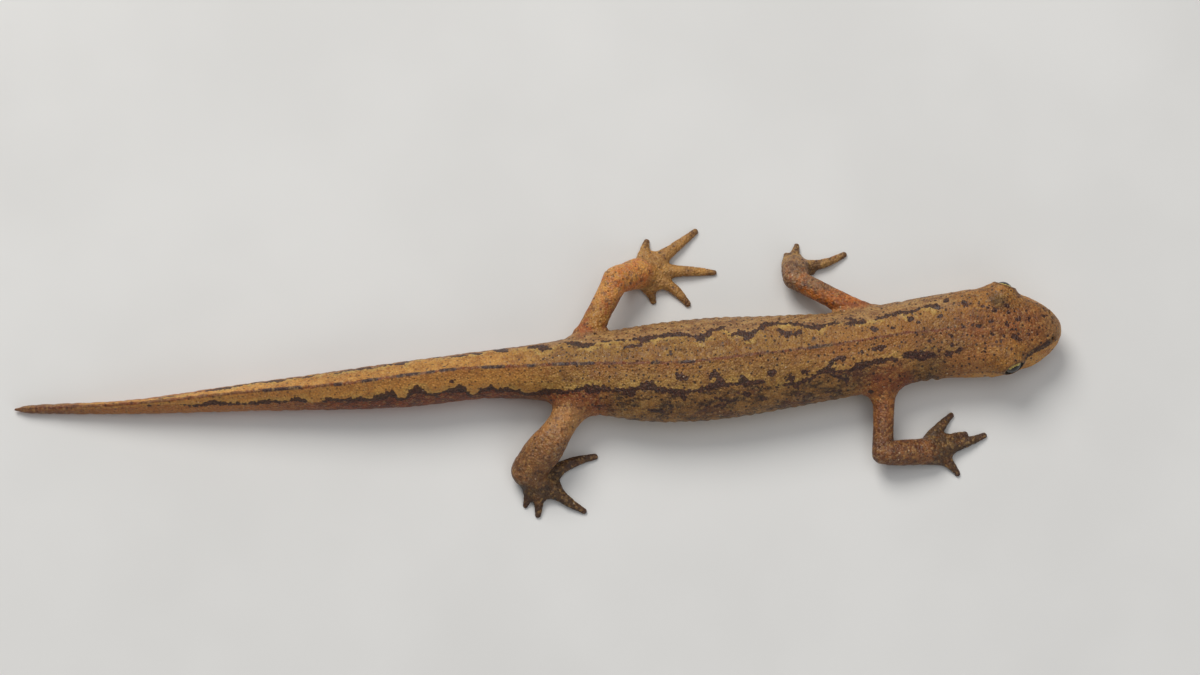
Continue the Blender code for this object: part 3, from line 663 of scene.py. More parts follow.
LEFT_PATH = seen_path(LEFT_LINE)
RIGHT_PATH = seen_path(RIGHT_LINE)


def side_of(path, x):
    """How far a path is from the ridge at many places along the body."""
    return np.interp(x, [row[0] for row in path], [row[1] for row in path])


def line_distance(x, across):
    """Distance to the nearest dark line of the back."""
    hidden = [row for row in RIGHT_PATH if row[0] < LEFT_PATH[0][0] - 0.5]
    hidden = [(place + 0.9, -side, width) for place, side, width in hidden]
    left = path_distance(x, across, hidden + LEFT_PATH)
    return np.minimum(path_distance(x, across, RIGHT_PATH), left)


def blotch_distance(x, across):
    """Distance to the nearest branch, dash or spot beside the lines."""
    near = np.full(len(x), FAR)
    for branch in SIDE_BRANCHES + FLANK_DASHES:
        near = np.minimum(near, path_distance(x, across, seen_path(branch)))
    for column, row, radius in SPOTS:
        place, side = on_back(column, row)
        near = np.minimum(near, np.hypot((x - place) * 0.85, across - side) - radius / 100)
    return near


def band_edges(x):
    """How far the band of the back reaches to the left and to the right of the ridge."""
    right = -side_of(RIGHT_PATH, x)
    return np.where(x < LEFT_PATH[0][0], right, side_of(LEFT_PATH, x)), right


def spine_offset(x):
    """Where the thin line of the back runs, from the middle line of the body."""
    return side_of([on_back(column, row) for column, row in SPINE_LINE], x)


def dash_distance(x, across):
    """Distance to the nearest dark dash of the line along the ridge."""
    near = np.full(len(x), FAR)
    for index, column in enumerate(SPINE_DASHES):
        place, _ = on_back(column, np.interp(column, *zip(*SPINE_LINE)))
        half_length = 0.55 + 0.35 * math.sin(index * 2.1)
        past = np.maximum(np.abs(x - place) - half_length, 0.0)
        near = np.minimum(near, np.hypot(past, across) - 0.10)
    return near


def mouth_height(x):
    """Height of the line of the mouth: it dips below the eye and rises to the snout."""
    corner, dip, snout = MOUTH_HEIGHTS
    reach = np.clip((x - MOUTH_CORNER) / (BODY[-1, 0] - MOUTH_CORNER), 0.0, 1.0)
    depth = 0.5 * (corner + snout) - dip
    return corner + (snout - corner) * reach - depth * np.sin(math.pi * reach)


def mouth_distance(x, points):
    """Signed height over the line of the mouth, and far away behind its corner."""
    behind = np.maximum(MOUTH_CORNER - x, 0.0)
    rise = points[:, 2] - mouth_height(x)
    return np.copysign(np.hypot(rise, behind * 1.6), rise)


LOOKS = (
    "along", "across", "dark", "inner", "spine", "leg", "foot", "tip", "mouth", "opening",
    "nostril", "side", "up", "level", "lid", "dash", "joint", "root", "line",
)


class Skin:
    """The skin's points, with the looks and more that are worked out about their places."""

    def __init__(self, points):
        self.base = points
        _, self.out, _ = outward(points)
        self.up = self.out[:, 2]
        self.along, self.side = body_place(points)
        self.height = points[:, 2]
        self.across = unrolled(self.along, self.side, self.height)
        body = body_field(points)
        self.leg = np.zeros(len(points))
        self.foot = np.zeros(len(points))
        self.tip = np.full(len(points), 9.0)
        self.root = np.full(len(points), FAR)
        self.joint = np.zeros(len(points))
        for leg in LEGS.values():
            whole, pads = leg_fields(points, leg)
            self.leg = np.maximum(self.leg, smooth_step(body - whole, -0.5, 0.6))
            self.foot = np.maximum(self.foot, smooth_step(-pads, -1.5, 0.1))
            for joint, reach in ((leg[0][1], 1.9), (leg[0][2], 1.3)):
                away = np.linalg.norm(points - np.array(joint), axis=1)
                self.joint = np.maximum(self.joint, bell(away, reach))
            self.root = np.minimum(self.root, np.hypot(body, whole))
            for digit in leg[3]:
                away = np.hypot(points[:, 0] - digit[2], points[:, 1] - digit[3])
                self.tip = np.minimum(self.tip, away)
        self.body = 1 - self.leg
        self.mouth = mouth_distance(self.along, points)
        self.opening = np.minimum(opening_field(points, 1), opening_field(points, -1))
        self.nostril = np.full(len(points), FAR)
        for mirror in (1, -1):
            place, side, height = NOSTRIL_PLACE
            hole = on_body(place, side * mirror, height)
            self.nostril = np.minimum(self.nostril, np.linalg.norm(points - hole, axis=1))
        self.line = np.where(self.leg > 0.5, FAR, line_distance(self.along, self.across))
        blotches = np.where(self.leg > 0.5, FAR, blotch_distance(self.along, self.across))
        self.dark = np.minimum(self.line, blotches)
        left, right = band_edges(self.along)
        self.inner = np.where(self.across > 0, left - self.across, self.across + right)
        self.spine = self.across - spine_offset(self.along)
        self.dash = dash_distance(self.along, self.spine)
        self.level = self.height - np.interp(self.along, FACE_STRIPE[0], FACE_STRIPE[1])
        crown = on_body(*FAR_LID)
        self.lid = np.linalg.norm(points - crown, axis=1)

    def relief(self):
        """How far each point is raised or sunk by folds, ridges and grooves."""
        x, out = self.along, self.out
        flank = smooth_step(np.abs(out[:, 1]), 0.25, 0.75) * self.body
        rise = np.zeros(len(x))
        trunk = smooth_step(x, 3.0, 5.0) * (1 - smooth_step(x, 25.0, 27.0))
        drift = 0.22 * lattice_noise(self.base, 2.6, 3)
        phase = (x + drift + 0.25 * (self.height - 2.5)) / GROOVE_STEP
        groove = bell((phase - np.round(phase)) * GROOVE_STEP, 0.26)
        rise -= 0.115 * groove * flank * trunk
        rise += 0.05 * np.cos(phase * math.tau) * flank * trunk
        tail = 1 - smooth_step(x, -1.0, 1.0)
        phase = (x + drift * 0.7) / TAIL_GROOVE_STEP
        groove = bell((phase - np.round(phase)) * TAIL_GROOVE_STEP, 0.20)
        rise -= 0.035 * groove * flank * tail
        ridge = smooth_step(x, -41.0, -36.0) * (1 - smooth_step(x, 30.0, 35.0))
        rise += 0.075 * bell(self.spine, 0.30) * ridge * self.body * (self.height > curve(5, x))
        rise -= 0.03 * bell(np.abs(self.spine) - 0.75, 0.35) * ridge * self.body
        under = smooth_step(-out[:, 2], -0.35, 0.35)
        bow = 0.55 * (1 - np.minimum(np.abs(self.side) / 3.4, 1.0) ** 2)
        rise -= 0.16 * bell(x - 31.4 + bow, 0.20) * under * self.body
        rise += 0.08 * bell(x - 31.9 + bow, 0.30) * under * self.body
        neck = smooth_step(np.abs(out[:, 1]), 0.3, 0.8) * self.body
        for place, lean, width, depth in NECK_FOLDS:
            rise -= depth * bell(x - place + lean * self.height, width) * neck
        swell = bell(x - 34.3, 1.8) * bell(np.abs(self.side) - 2.6, 0.9)
        rise += 0.10 * swell * smooth_step(out[:, 2], 0.0, 0.6) * self.body
        rise += self.head_relief()
        rise += self.leg_relief()
        smooth_zone = np.maximum(bell(self.mouth, 0.35), bell(np.maximum(self.opening, 0), 0.25))
        for height, size, seed, zone in GRAIN:
            rise += height * lattice_noise(self.base, size, seed) * (1 - zone * smooth_zone)
        return rise

    def head_relief(self):
        """Lips, nostrils, lid creases and the low ridges of the head."""
        x = self.along
        head = smooth_step(x, 34.0, 36.5) * self.body
        rise = -0.15 * bell(self.mouth, 0.085)
        rise += 0.075 * bell(self.mouth - 0.30, 0.20) + 0.06 * bell(self.mouth + 0.28, 0.20)
        corner = bell(x - MOUTH_CORNER + 0.1, 0.45) * bell(self.mouth, 0.5)
        rise += 0.05 * corner
        rise -= 0.20 * bell(self.nostril - 0.02, 0.12)
        rise += 0.055 * bell(self.nostril - 0.30, 0.12)
        crease = bell(self.opening - 0.52, 0.10) * smooth_step(self.up, 0.1, 0.6)
        rise -= 0.045 * crease * head
        canthus = bell(np.abs(self.side) - 1.55 - 0.12 * (42.0 - x), 0.35)
        front = smooth_step(x, 39.4, 40.4) * (1 - smooth_step(x, 41.8, 42.4))
        rise += 0.07 * canthus * front * smooth_step(self.up, 0.2, 0.8)
        dip = bell(np.abs(self.side) - 0.95, 0.45) * bell(x - 38.6, 1.9)
        rise -= 0.06 * dip * smooth_step(self.up, 0.4, 0.9) * head
        rise -= 0.035 * bell(self.dark, 0.10) * head
        return rise

    def leg_relief(self):
        """Folds at the roots of the legs and creases over the joints."""
        rise = -0.10 * bell(self.root - 0.42, 0.14) * smooth_step(-self.root, -1.2, -0.2)
        wrinkle = lattice_noise(self.base, 0.55, 21)
        rise += 0.05 * wrinkle * bell(self.root - 0.6, 0.5)
        for joints, _, _, digits in LEGS.values():
            for joint in joints[1:]:
                away = np.linalg.norm(self.base - np.array(joint), axis=1)
                near = (away < 2.2) & (self.leg > 0.5)
                along = np.array(joints[2]) - np.array(joints[0])
                along = along / np.linalg.norm(along)
                phase = (self.base - np.array(joint)) @ along
                for shift in (-0.275, 0.275):
                    bend = bell(phase - shift + 0.35 * wrinkle, 0.10)
                    rise -= np.where(near, 0.030 * bend * smooth_step(wrinkle, -0.5, 0.3), 0.0)
            for digit in digits:
                start = np.array((*digit[:2], 0.3))
                axis = np.array((*digit[2:4], 0.3)) - start
                length = np.linalg.norm(axis)
                axis = axis / length
                local = self.base - start
                along = local @ axis
                off = np.linalg.norm(local - along[:, None] * axis, axis=1)
                close = (off < 0.55) & (along > 0)
                for share in (0.42, 0.62, 0.82):
                    rise -= np.where(close, 0.022 * bell(along - share * length, 0.06), 0.0)
        return rise


def store(mesh, name, values):
    """Keeps one number for each point of a mesh."""
    attribute = mesh.attributes.new(name, "FLOAT", "POINT")
    attribute.data.foreach_set("value", np.asarray(values, dtype=np.float32))


def put_in_scene(name, data):
    """A new object with a mesh, light or camera."""
    piece = bpy.data.objects.new(name, data)
    bpy.context.collection.objects.link(piece)
    return piece


def in_frame(points):
    """Points of the frame, in metres, from points of the model, in millimetres."""
    return (points - FRAME_SHIFT) * METRES_PER_MM


def mesh_from(name, points, faces):
    """A smooth mesh in metres from points in millimetres and four-sided faces."""
    mesh = bpy.data.meshes.new(name)
    mesh.vertices.add(len(points))
    mesh.vertices.foreach_set("co", in_frame(points).astype(np.float32).ravel())
    mesh.loops.add(faces.size)
    mesh.loops.foreach_set("vertex_index", faces.astype(np.int32).ravel())
    mesh.polygons.add(len(faces))
    mesh.polygons.foreach_set("loop_start", np.arange(0, faces.size, 4, dtype=np.int32))
    mesh.update(calc_edges=True)
    mesh.shade_smooth()
    return put_in_scene(name, mesh)


def make_skin():
    """The whole skin as one closed piece."""
    low = np.array(SKIN_LOW)
    points, faces = surface_net(low, np.ceil((np.array(SKIN_HIGH) - low) / CELL).astype(int))
    points = settle(points)
    skin = Skin(points)
    points = points + skin.out * skin.relief()[:, None]
    points[:, 2] = np.maximum(points[:, 2], 0.0)
    piece = mesh_from("skin", points, faces)
    for name in LOOKS:
        store(piece.data, name, getattr(skin, name))
    return piece


class Graph:
    """Short ways to add nodes to a material.

    Where a number goes in, a look goes in by its name, and a span of one by its name and limits.
    """

    def __init__(self, name):
        self.material = bpy.data.materials.new(name)
        self.material.use_nodes = True
        self.tree = self.material.node_tree
        self.looks = {}
        coordinates = self.tree.nodes.new("ShaderNodeTexCoord")
        mapping = self.tree.nodes.new("ShaderNodeMapping")
        mapping.inputs["Scale"].default_value = (1 / METRES_PER_MM,) * 3
        self.tree.links.new(coordinates.outputs["Object"], mapping.inputs["Vector"])
        self.place = mapping.outputs["Vector"]

    def put(self, socket, value):
        """Links a socket, or sets its number or colour."""
        if isinstance(value, str):
            value = self.looks[value]
        elif isinstance(value, tuple) and not isinstance(value[0], (int, float)):
            value = self.span(*value)
        elif isinstance(value, tuple) and len(value) < len(socket.default_value):
            value = colour(*value)
        if isinstance(value, bpy.types.NodeSocket):
            self.tree.links.new(value, socket)
        else:
            socket.default_value = value

    def node(self, kind, inputs, **settings):
        """A new node with some inputs, named or numbered, and some settings."""
        node = self.tree.nodes.new("ShaderNode" + kind)
        for name, value in settings.items():
            setattr(node, name, value)
        for socket, value in inputs.items():
            self.put(node.inputs[socket], value)
        return node.outputs

    def attribute(self, name):
        return self.node("Attribute", {}, attribute_name=name)["Fac"]

    def math(self, operation, first, second=0.0):
        return self.node("Math", {0: first, 1: second}, operation=operation)[0]

    def plus(self, first, *others):
        for other in others:
            first = self.math("ADD", first, other)
        return first

    def times(self, first, *others):
        for other in others:
            first = self.math("MULTIPLY", first, other)
        return first

    def absolute(self, value):
        return self.math("ABSOLUTE", value)

    def span(self, value, low, high, to_low=0.0, to_high=1.0):
        """A smooth change from one value to another while the input goes from low to high."""
        limits = {"From Min": low, "From Max": high, "To Min": to_low, "To Max": to_high}
        inputs = {"Value": value, **limits}
        return self.node("MapRange", inputs, interpolation_type="SMOOTHSTEP")["Result"]

    def mix(self, share, first, second, kind="MIX"):
        inputs = {0: share, 6: first, 7: second}
        return self.node("Mix", inputs, data_type="RGBA", blend_type=kind)[2]

    def layers(self, base, *rows):
        """Tints laid over each other. Each has shares that are multiplied."""
        for tint, *shares in rows:
            base = self.mix(self.times(*shares), base, tint)
        return base

    def grained(self, dark, pale):
        """Two tints in the fine mottling of the skin."""
        return self.mix(("mottle", 0.36, 0.62), dark, pale)

    def noise(self, scale, detail=2.0, roughness=0.5, place=None):
        settings = {"Scale": scale, "Detail": detail, "Roughness": roughness}
        return self.node("TexNoise", {"Vector": place or self.place, **settings})["Fac"]

    def cells(self, scale, place=None, flat=False):
        """Distance to the nearest of many scattered places, and a random number for each."""
        inputs = {"Vector": place or self.place, "Scale": scale}
        cells = self.node("TexVoronoi", inputs, voronoi_dimensions="2D" if flat else "3D")
        return cells["Distance"], self.node("SeparateColor", {"Color": cells["Color"]})["Red"]

    def dots(self, scale, smallest, largest, share, place=None):
        """Scattered round dots, with radii in mm, in a share of the cells of a flat pattern."""
        away, chance = self.cells(scale, place, flat=True)
        size = self.span(chance, 1.0 - share, 1.0, smallest * scale, largest * scale)
        edge = DOT_EDGE * scale
        dot = self.span(self.math("SUBTRACT", away, size), edge, -edge)
        return self.times(dot, self.math("GREATER_THAN", chance, 1.0 - share))

    def vector(self, x, y, z):
        return self.node("CombineXYZ", {"X": x, "Y": y, "Z": z})["Vector"]

    def bump(self, height, distance_mm, below=None):
        inputs = {"Strength": 1.0, "Distance": distance_mm * METRES_PER_MM, "Height": height}
        if below is not None:
            inputs["Normal"] = below
        return self.node("Bump", inputs)["Normal"]

    def finished(self, values):
        """The material, with the values of its surface."""
        shader = self.tree.nodes["Principled BSDF"]
        for name, value in values.items():
            self.put(shader.inputs[name], value)
        return self.material


def colour(red, green, blue):
    """A linear colour from its everyday 0 to 255 values."""
    channels = []
    for value in (red, green, blue):
        share = value / 255
        channels.append(share / 12.92 if share <= 0.04045 else ((share + 0.055) / 1.055) ** 2.4)
    return (*channels, 1.0)


def back_tone(graph):
    """The ochre band of the back, with pale patches beside the dark lines and painted light on the
    right side of the tail.
    """
    brown = graph.layers((126, 84, 32), ((170, 112, 42), "tail"), ((204, 138, 56), "far_tail"))
    gold = graph.layers((160, 116, 50), ((204, 148, 68), "tail"), ((228, 170, 84), "far_tail"))
    stain = graph.noise(0.9, 5.0, 0.7)
    near_line = graph.plus("line", (graph.noise(1.1, 4.0, 0.7), 0.25, 0.75, -0.45, 0.45))
    patchy = graph.span(graph.noise(0.7, 3.0, 0.6), 0.38, 0.56)
    return graph.layers(
        graph.grained(brown, gold),
        ((146, 86, 34), ("broad", 0.40, 0.70, 0.0, 0.40)),
        # Painted light: the right side of the tail is painted lighter, standing in for light that
        # the key light does not give it
        ((214, 146, 66), "tail", ("across", 0.4, -0.6), 0.45),
        ((104, 64, 28), (stain, 0.54, 0.66), ("tail", 0.0, 1.0, 0.5, 0.25)),
        ((110, 78, 58), "tail_tip"),
        ((166, 108, 48), ("along", 20.0, 25.0), 0.45),
        ((194, 156, 80), (near_line, 0.52, 0.05), patchy, ("across", -0.5, 1.0, 0.45, 0.85)),
    )


def flank_tone(graph):
    """Brown flanks with darker and paler streaks, redder beside the tail, and a pale upper left
    flank that is partly painted light.
    """
    stretched = graph.vector(graph.times("along", 0.50), "across", 0.0)
    streak = graph.noise(1.9, 5.0, 0.72, place=stretched)
    patches = graph.noise(0.6, 3.0, 0.6, place=stretched)
    dusk = graph.noise(1.1, 4.0, 0.7, place=stretched)
    tail_side = graph.layers(
        (80, 32, 12),
        ((138, 66, 20), (streak, 0.38, 0.62)),
        ((172, 106, 44), "far_tail"),
        ((100, 68, 50), "tail_tip"),
    )
    pale_and_lit_left_flank = graph.mix((streak, 0.38, 0.62), (146, 100, 60), (188, 146, 90))
    return graph.layers(
        (66, 40, 16),
        ((134, 90, 38), (streak, 0.40, 0.58)),
        ((160, 114, 54), (patches, 0.50, 0.62, 0.0, 0.65)),
        ((92, 48, 26), (patches, 0.46, 0.38, 0.0, 0.6)),
        ((50, 28, 18), (dusk, 0.58, 0.63, 0.0, 0.70)),
        (tail_side, "tail"),
        # Partly its own pale pinkish brown and partly painted light: laid only on the left flank
        # and where the skin faces up
        (pale_and_lit_left_flank, ("across", 1.0, 2.0), ("up", 0.1, 0.6), 0.75),
        ((150, 68, 26), ("root", 2.4, 0.4), ("side", 0.0, -1.5), 0.55),
    )


def head_tone(graph, body):
    """Warm brown crown, a dark stripe through the eye, pale lips and jaws, and painted shade on the
    neck.
    """
    head = graph.layers(
        graph.grained((124, 78, 30), (172, 116, 48)),
        (graph.grained((104, 58, 22), (146, 88, 38)), (graph.absolute("spine"), 2.2, 0.8), 0.75),
        ((142, 76, 32), ("broad", 0.42, 0.62), ("spine", 1.6, 0.4), 0.25),
        ((72, 58, 28), ("lid", 1.05, 0.35), 0.7),
        ((162, 124, 78), ("along", 40.2, 41.8), ("side", -1.9, -0.6), 0.40),
    )
    face = graph.span("along", 32.8, 34.6)
    # Painted shade on the neck behind the head, on skin that faces up, mostly right of the ridge
    painted_nape_shade = graph.times(("along", 29.5, 31.5), ("along", 35.4, 33.8), ("side", 1.8, -0.4))
    cheek = graph.times(("side", -1.6, -2.4), ("along", 37.0, 35.5), ("along", 31.5, 33.5))
    pale = graph.mix(("mottle", 0.35, 0.65), (178, 114, 46), (206, 150, 70))
    level = graph.plus("level", ("fine", 0.25, 0.75, -0.07, 0.07))
    width = graph.plus(("along", 36.0, 39.5, 0.06, 0.15), ("mottle", 0.3, 0.7, -0.06, 0.06))
    stripe = graph.span(graph.math("SUBTRACT", graph.absolute(level), width), 0.07, -0.05)
    stripe = graph.times(stripe, ("along", 36.6, 39.0, 0.45, 0.95), ("side", -0.5, 1.0, 1.0, 0.35))
    return graph.layers(
        body,
        (head, ("along", 32.5, 35.5)),
        # Painted shade on the neck
        ((92, 58, 26), painted_nape_shade, ("up", 0.2, 0.7), 0.40),
        ((166, 106, 50), cheek, 0.65),
        (pale, (level, -0.05, -0.30), face, 0.90),
        ((56, 26, 14), stripe, face, ("along", 42.2, 41.4)),
    )


def ridge_tone(graph, body):
    """The thin broken line along the ridge, and the warm glow beside it."""
    beside = graph.times(("spine", -1.1, -0.3), ("spine", 0.05, -0.12))
    wavering = graph.span(graph.noise(0.8, 2.0), 0.25, 0.75, 0.05, 0.40)
    away = graph.absolute(graph.plus("spine", ("mottle", 0.2, 0.8, -0.08, 0.08)))
    tone = graph.mix((graph.noise(0.9, 2.0), 0.42, 0.58), (116, 50, 26), (102, 58, 40))
    return graph.layers(
        body,
        ((154, 82, 32), beside, wavering, ("up", 0.1, 0.5), ("along", 42.0, 37.0)),
        (tone, (away, 0.17, 0.05), ("up", 0.0, 0.4), ("along", 36.0, 31.0), 0.80),
        ((56, 42, 42), ("dash", 0.10, -0.04), ("up", 0.0, 0.4), 0.85),
    )


def belly_tone(graph, body):
    """Orange belly with small dark spots, and a paler throat."""
    throat = graph.mix(("mottle", 0.3, 0.7), (200, 162, 102), (208, 138, 72))
    dots, _ = graph.cells(0.95)
    belly = graph.layers(
        (206, 112, 36),
        ((196, 154, 90), (graph.absolute("side"), 1.2, 2.6)),
        (throat, ("along", 29.5, 32.0)),
        ((52, 36, 30), (dots, 0.26, 0.18)),
    )
    return graph.mix(("up", -0.20, -0.62), body, belly)


def leg_tone(graph, body):
    """Ochre and orange legs with dark freckles, dusty joints, and olive hands and feet, with
    painted shade on the right hands, feet and limbs.
    """
    left = graph.span("side", 1.5, 3.5)
    front = graph.span("along", 16.0, 20.0)
    patches = graph.noise(0.9, 4.0, 0.65)
    hind_leg = graph.layers(
        graph.grained((118, 70, 34), (164, 108, 54)),
        ((178, 110, 50), (patches, 0.52, 0.62, 0.0, 0.7)),
        ((196, 146, 86), ("root", 0.4, 1.4), ("root", 3.6, 2.4), 0.45),
        ((158, 76, 28), ("root", 2.8, 4.0, 0.0, 0.55)),
    )
    golden = graph.mix((patches, 0.42, 0.60), (222, 154, 70), (208, 118, 48))
    thigh = graph.mix((patches, 0.42, 0.60), (180, 124, 52), (164, 88, 36))
    orange = graph.mix((patches, 0.42, 0.62), (196, 112, 38), (146, 74, 24))
    near_root = graph.plus("root", (patches, 0.3, 0.7, -0.8, 0.8))
    left_arm = graph.mix((near_root, 3.6, 0.8), graph.grained((98, 66, 44), (146, 106, 70)), orange)
    # Painted shade: the soles of the right hands and feet get darker tints than the left ones, as
    # if in the body's shade
    shaded_sole_dark = graph.mix(front, (64, 44, 24), (82, 60, 34))
    shaded_sole_pale = graph.mix(front, (84, 62, 36), (96, 72, 42))
    right_sole_painted_shade = graph.mix(("mottle", 0.36, 0.64), shaded_sole_dark, shaded_sole_pale)
    bright_sole = graph.mix(("mottle", 0.36, 0.64), (140, 100, 50), (178, 136, 76))
    foot = graph.plus("foot", (patches, 0.25, 0.75, -0.35, 0.35))
    limb = graph.layers(
        hind_leg,
        (graph.grained((120, 66, 30), (166, 106, 50)), front),
        (graph.mix(("root", 3.2, 2.0), golden, thigh), left, (front, 0.0, 1.0, 0.88, 0.0)),
        (left_arm, left, front),
        ((84, 42, 26), (graph.noise(1.7, 4.0, 0.7), 0.55, 0.61), 0.6),
        # Right soles in painted shade, left soles bright
        (graph.mix(left, right_sole_painted_shade, bright_sole), (foot, 0.35, 1.05, 0.0, 0.85)),
    )
    # Painted shade on the right limbs: their colour darkened, most on their sides and undersides
    right_limb_painted_shade = graph.mix(1.0, limb, (150, 136, 126), "MULTIPLY")
    dust = graph.times("joint", (graph.noise(3.6, 3.0, 0.75), 0.50, 0.60), ("up", -0.1, 0.5))
    tips = graph.plus("tip", ("mottle", 0.2, 0.8, -0.5, 0.5))
    limb = graph.layers(
        limb,
        (right_limb_painted_shade, ("side", -5.0, -7.5), ("up", 0.9, 0.2, 0.5, 0.8)),
        ((186, 160, 132), dust, (front, 0.0, 1.0, 0.55, 0.38)),
        ((72, 44, 34), (tips, 1.0, 0.2), 0.6),
    )
    return graph.mix("leg", body, limb)


def marking_tone(graph, skin):
    """Dark lines and spots, pinprick dots, and pale flecks that are partly pale grains and partly
    painted glints.
    """
    unrolled = graph.vector("along", "across", 0.0)
    granules, _ = graph.cells(2.9, unrolled, flat=True)
    ragged = (graph.noise(1.4, 3.0, 0.6), 0.25, 0.75, -0.11, 0.11)
    finer_head = ("along", 32.0, 35.0, 0.0, 0.030)
    edge = graph.plus("dark", ragged, (granules, 0.0, 0.8, -0.10, 0.07), finer_head)
    tone = graph.mix(("fine", 0.40, 0.70), (36, 10, 4), (82, 40, 24))
    on_trunk = graph.span("leg", 0.5, 0.2)
    trunk_top = graph.times(on_trunk, ("tail", 0.0, 1.0, 0.85, 0.55), ("up", -0.3, 0.1))
    leg_top = graph.times("leg", ("up", 0.1, 0.6))
    # Pale flecks, partly pale grains and partly painted glints of the wet skin
    trunk_specks_and_glints = graph.times(graph.dots(1.1, 0.02, 0.065, 0.25, unrolled), on_trunk)
    leg_specks_and_glints = graph.times(graph.dots(1.3, 0.02, 0.065, 0.25), leg_top)
    pale_specks_and_glints = graph.math("MAXIMUM", trunk_specks_and_glints, leg_specks_and_glints)
    return graph.layers(
        skin,
        (tone, (edge, 0.05, -0.03), on_trunk, 0.93),
        ((36, 14, 8), graph.dots(1.50, 0.055, 0.105, 0.80, unrolled), trunk_top),
        ((36, 14, 8), graph.dots(2.30, 0.045, 0.075, 0.60, unrolled), trunk_top, 0.80),
        ((48, 22, 14), graph.dots(1.7, 0.04, 0.10, 0.7), leg_top, 0.65),
        # Pale flecks that are partly painted glints
        ((222, 198, 164), pale_specks_and_glints, (graph.noise(0.5, 2.0), 0.46, 0.60, 0.0, 0.6)),
    )


def painted_opening_shade(graph, skin):
    """Painted shade in the openings: a dark line along the groove of the mouth, dark rims and black
    where the lids meet the eyeball, and dark nostrils.
    """
    return graph.layers(
        skin,
        ((38, 20, 14), (graph.absolute("mouth"), 0.08, 0.02), 0.85),
        ((66, 44, 26), ("opening", 0.26, 0.14), ("opening", -0.05, 0.02), 0.5),
        ((12, 8, 7), ("opening", 0.04, 0.0)),
        ((26, 15, 12), ("nostril", 0.16, 0.08)),
    )


def skin_material():
    """Grained amphibian skin: an ochre back between dark lines, brown flanks, orange legs."""
    graph = Graph("newt skin")
    graph.looks = {name: graph.attribute(name) for name in LOOKS}
    graph.looks["broad"] = graph.noise(0.35, 3.0, 0.55)
    graph.looks["mottle"] = graph.noise(1.6, 4.0, 0.65)
    graph.looks["fine"] = graph.noise(5.5, 3.0, 0.65)
    graph.looks["tail"] = graph.span("along", 3.0, -4.0)
    graph.looks["far_tail"] = graph.span("along", -14.0, -26.0)
    graph.looks["tail_tip"] = graph.span("along", -34.0, -40.0, 0.0, 0.75)
    in_band = graph.plus("inner", ("mottle", 0.2, 0.8, -0.2, 0.2))
    skin = graph.mix((in_band, -0.15, 0.15), flank_tone(graph), back_tone(graph))
    for tone in (head_tone, ridge_tone, belly_tone, leg_tone):
        skin = tone(graph, skin)
    grain, chance = graph.cells(5.2)
    # Painted shade in the creases between granules: the colour darkens away from each granule's
    # middle
    granule_crease_shade = graph.mix(1.0, skin, (150, 130, 120), "MULTIPLY")
    skin = graph.layers(
        skin,
        (granule_crease_shade, (grain, 0.25, 0.75, 0.0, 0.34)),
        ((204, 160, 92), (chance, 0.66, 1.0, 0.0, 0.26)),
    )
    # Painted shade in the groove of the mouth, at the rims of the lids and in the nostrils
    skin = painted_opening_shade(graph, marking_tone(graph, skin))
    lumps = graph.bump(graph.noise(2.6, 3.0, 0.6), 0.10)
    grains = graph.bump((grain, 0.75, 0.05), 0.050, lumps)
    return graph.finished({
        "Base Color": skin,
        "Roughness": (graph.noise(0.9, 3.0, 0.6), 0.3, 0.7, 0.40, 0.56),
        "Specular IOR Level": 0.42,
        "Subsurface Weight": 0.10,
        "Subsurface Radius": (0.9, 0.35, 0.15),
        "Subsurface Scale": 0.0005,
        "Normal": graph.bump(graph.noise(12.0, 2.0, 0.6), 0.02, grains),
    })


def make_eye(name, mirror):
    """An eyeball with its clear bulge along the gaze."""
    axes = gaze_axes(mirror)
    middle = eye_middle(mirror)
    points = []
    angles = []
    for ring in range(EYE_RINGS + 1):
        away = math.pi * (0.004 + 0.992 * ring / EYE_RINGS)
        radius = EYE_RADIUS + CORNEA_RISE * max(0.0, math.cos(away)) ** 6
        for step in range(EYE_SIDES):
            turn = math.tau * step / EYE_SIDES
            across, lift = math.sin(away) * math.cos(turn), math.sin(away) * math.sin(turn)
            points.append(middle + axes @ (np.array((across, math.cos(away), lift)) * radius))
            angles.append((away, lift))
    faces = []
    for row in range(0, EYE_RINGS * EYE_SIDES, EYE_SIDES):
        below = row + EYE_SIDES
        for step in range(EYE_SIDES):
            after = (step + 1) % EYE_SIDES
            faces.append((row + step, row + after, below + after, below + step))
    mesh = bpy.data.meshes.new(name)
    last = EYE_RINGS * EYE_SIDES
    caps = [tuple(reversed(range(EYE_SIDES))), tuple(range(last, last + EYE_SIDES))]
    if mirror < 0:
        faces = [face[::-1] for face in faces]
        caps = [cap[::-1] for cap in caps]
    mesh.from_pydata(in_frame(np.array(points)).tolist(), [], faces + caps)
    mesh.shade_smooth()
    for angle, values in zip(("away", "lift"), zip(*angles)):
        store(mesh, angle, values)
    return put_in_scene(name, mesh)


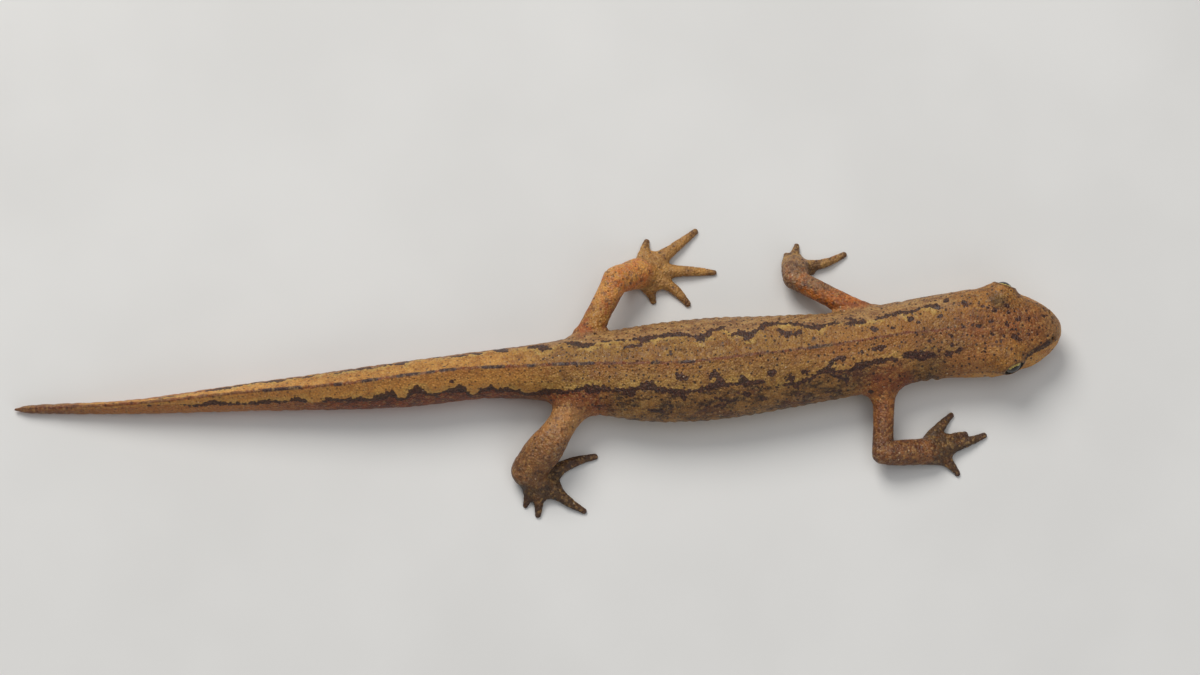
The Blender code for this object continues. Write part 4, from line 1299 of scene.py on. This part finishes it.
def eye_material():
    """A black pupil in a gold iris with a dark bar across it and painted lid shade along its top,
    under a wet clear surface.
    """
    graph = Graph("newt eye")
    away, lift = graph.attribute("away"), graph.attribute("lift")
    fleck = graph.noise(9.0, 4.0, 0.7)
    bar = graph.absolute(graph.plus(lift, (fleck, 0.2, 0.8, -0.05, 0.05)))
    ring = graph.plus(away, (fleck, 0.2, 0.8, -0.04, 0.04))
    tint = graph.layers(
        (156, 122, 44),
        ((216, 198, 112), (fleck, 0.35, 0.65)),
        # Painted shade of the upper lid: the top of the iris, just under the lid, is darker
        # orange-brown
        ((134, 82, 24), (lift, 0.55, 0.72)),
        ((24, 18, 9), (bar, 0.40, 0.33), 0.95),
        ((16, 11, 9), (ring, 0.92, 1.04)),
        ((5, 4, 4), (ring, 0.56, 0.50)),
    )
    return graph.finished({
        "Base Color": tint,
        "Roughness": (fleck, 0.2, 0.8, 0.10, 0.20),
        "Specular IOR Level": 0.25,
        "Coat Weight": 0.35,
        "Coat Roughness": 0.03,
        "Normal": graph.bump(fleck, 0.01),
    })


def floor_material():
    """A plain pale floor."""
    graph = Graph("pale floor")
    cloudy = (graph.noise(0.05, 3.0), 0.3, 0.7)
    tone = graph.mix(cloudy, (0.68, 0.67, 0.65, 1.0), (0.72, 0.71, 0.69, 1.0))
    return graph.finished({"Base Color": tone, "Roughness": 0.7})


def make_floor():
    """A pale floor at the level that the newt rests on."""
    mesh = bpy.data.meshes.new("floor")
    corners = [(x * FLOOR_HALF, y * FLOOR_HALF, 0) for x, y in ((-1, -1), (1, -1), (1, 1), (-1, 1))]
    mesh.from_pydata(corners, [], [(0, 1, 2, 3)])
    mesh.materials.append(floor_material())
    put_in_scene("floor", mesh)


def add_light(name, place, size, power, tint):
    """A soft round light that faces the newt."""
    data = bpy.data.lights.new(name, "AREA")
    data.shape = "DISK"
    data.size = size
    data.energy = power
    data.color = tint
    light = put_in_scene(name, data)
    light.location = place
    light.rotation_euler = (-Vector(place)).to_track_quat("-Z", "Y").to_euler()


def make_lights():
    """Soft daylight from above and behind, with a weak fill from the front."""
    for light in LIGHTS:
        add_light(*light)
    world = bpy.data.worlds.new("studio")
    world.use_nodes = True
    background = world.node_tree.nodes["Background"]
    background.inputs["Color"].default_value = SKY_TINT
    background.inputs["Strength"].default_value = SKY_STRENGTH
    bpy.context.scene.world = world


def make_camera():
    """Looks down on the newt from its right side, at 75 degrees."""
    distance = SEEN_WIDTH * LENS / FILM
    away = Vector((0.0, -math.cos(VIEW_TILT), math.sin(VIEW_TILT)))
    data = bpy.data.cameras.new("camera")
    data.lens = LENS
    data.sensor_width = FILM
    data.clip_start = 0.01
    data.clip_end = 10.0
    camera = put_in_scene("camera", data)
    camera.location = Vector(CAMERA_TARGET) + away * distance
    camera.rotation_euler = (math.pi / 2 - VIEW_TILT, 0.0, 0.0)
    bpy.context.scene.camera = camera


def main():
    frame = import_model()
    skin = make_skin()
    skin.data.materials.append(skin_material())
    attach(skin, "root")
    eyes = ("eye_left", "eye_right")
    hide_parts(*[name for name in frame["nodes"] if name not in eyes])
    eye_look = eye_material()
    for name, mirror in zip(eyes, (1, -1)):
        eye = make_eye(name + "_ball", mirror)
        eye.data.materials.append(eye_look)
        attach(eye, "root")
        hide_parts(name)
    make_floor()
    make_lights()
    make_camera()
    bpy.context.scene.view_settings.view_transform = "Standard"


main()
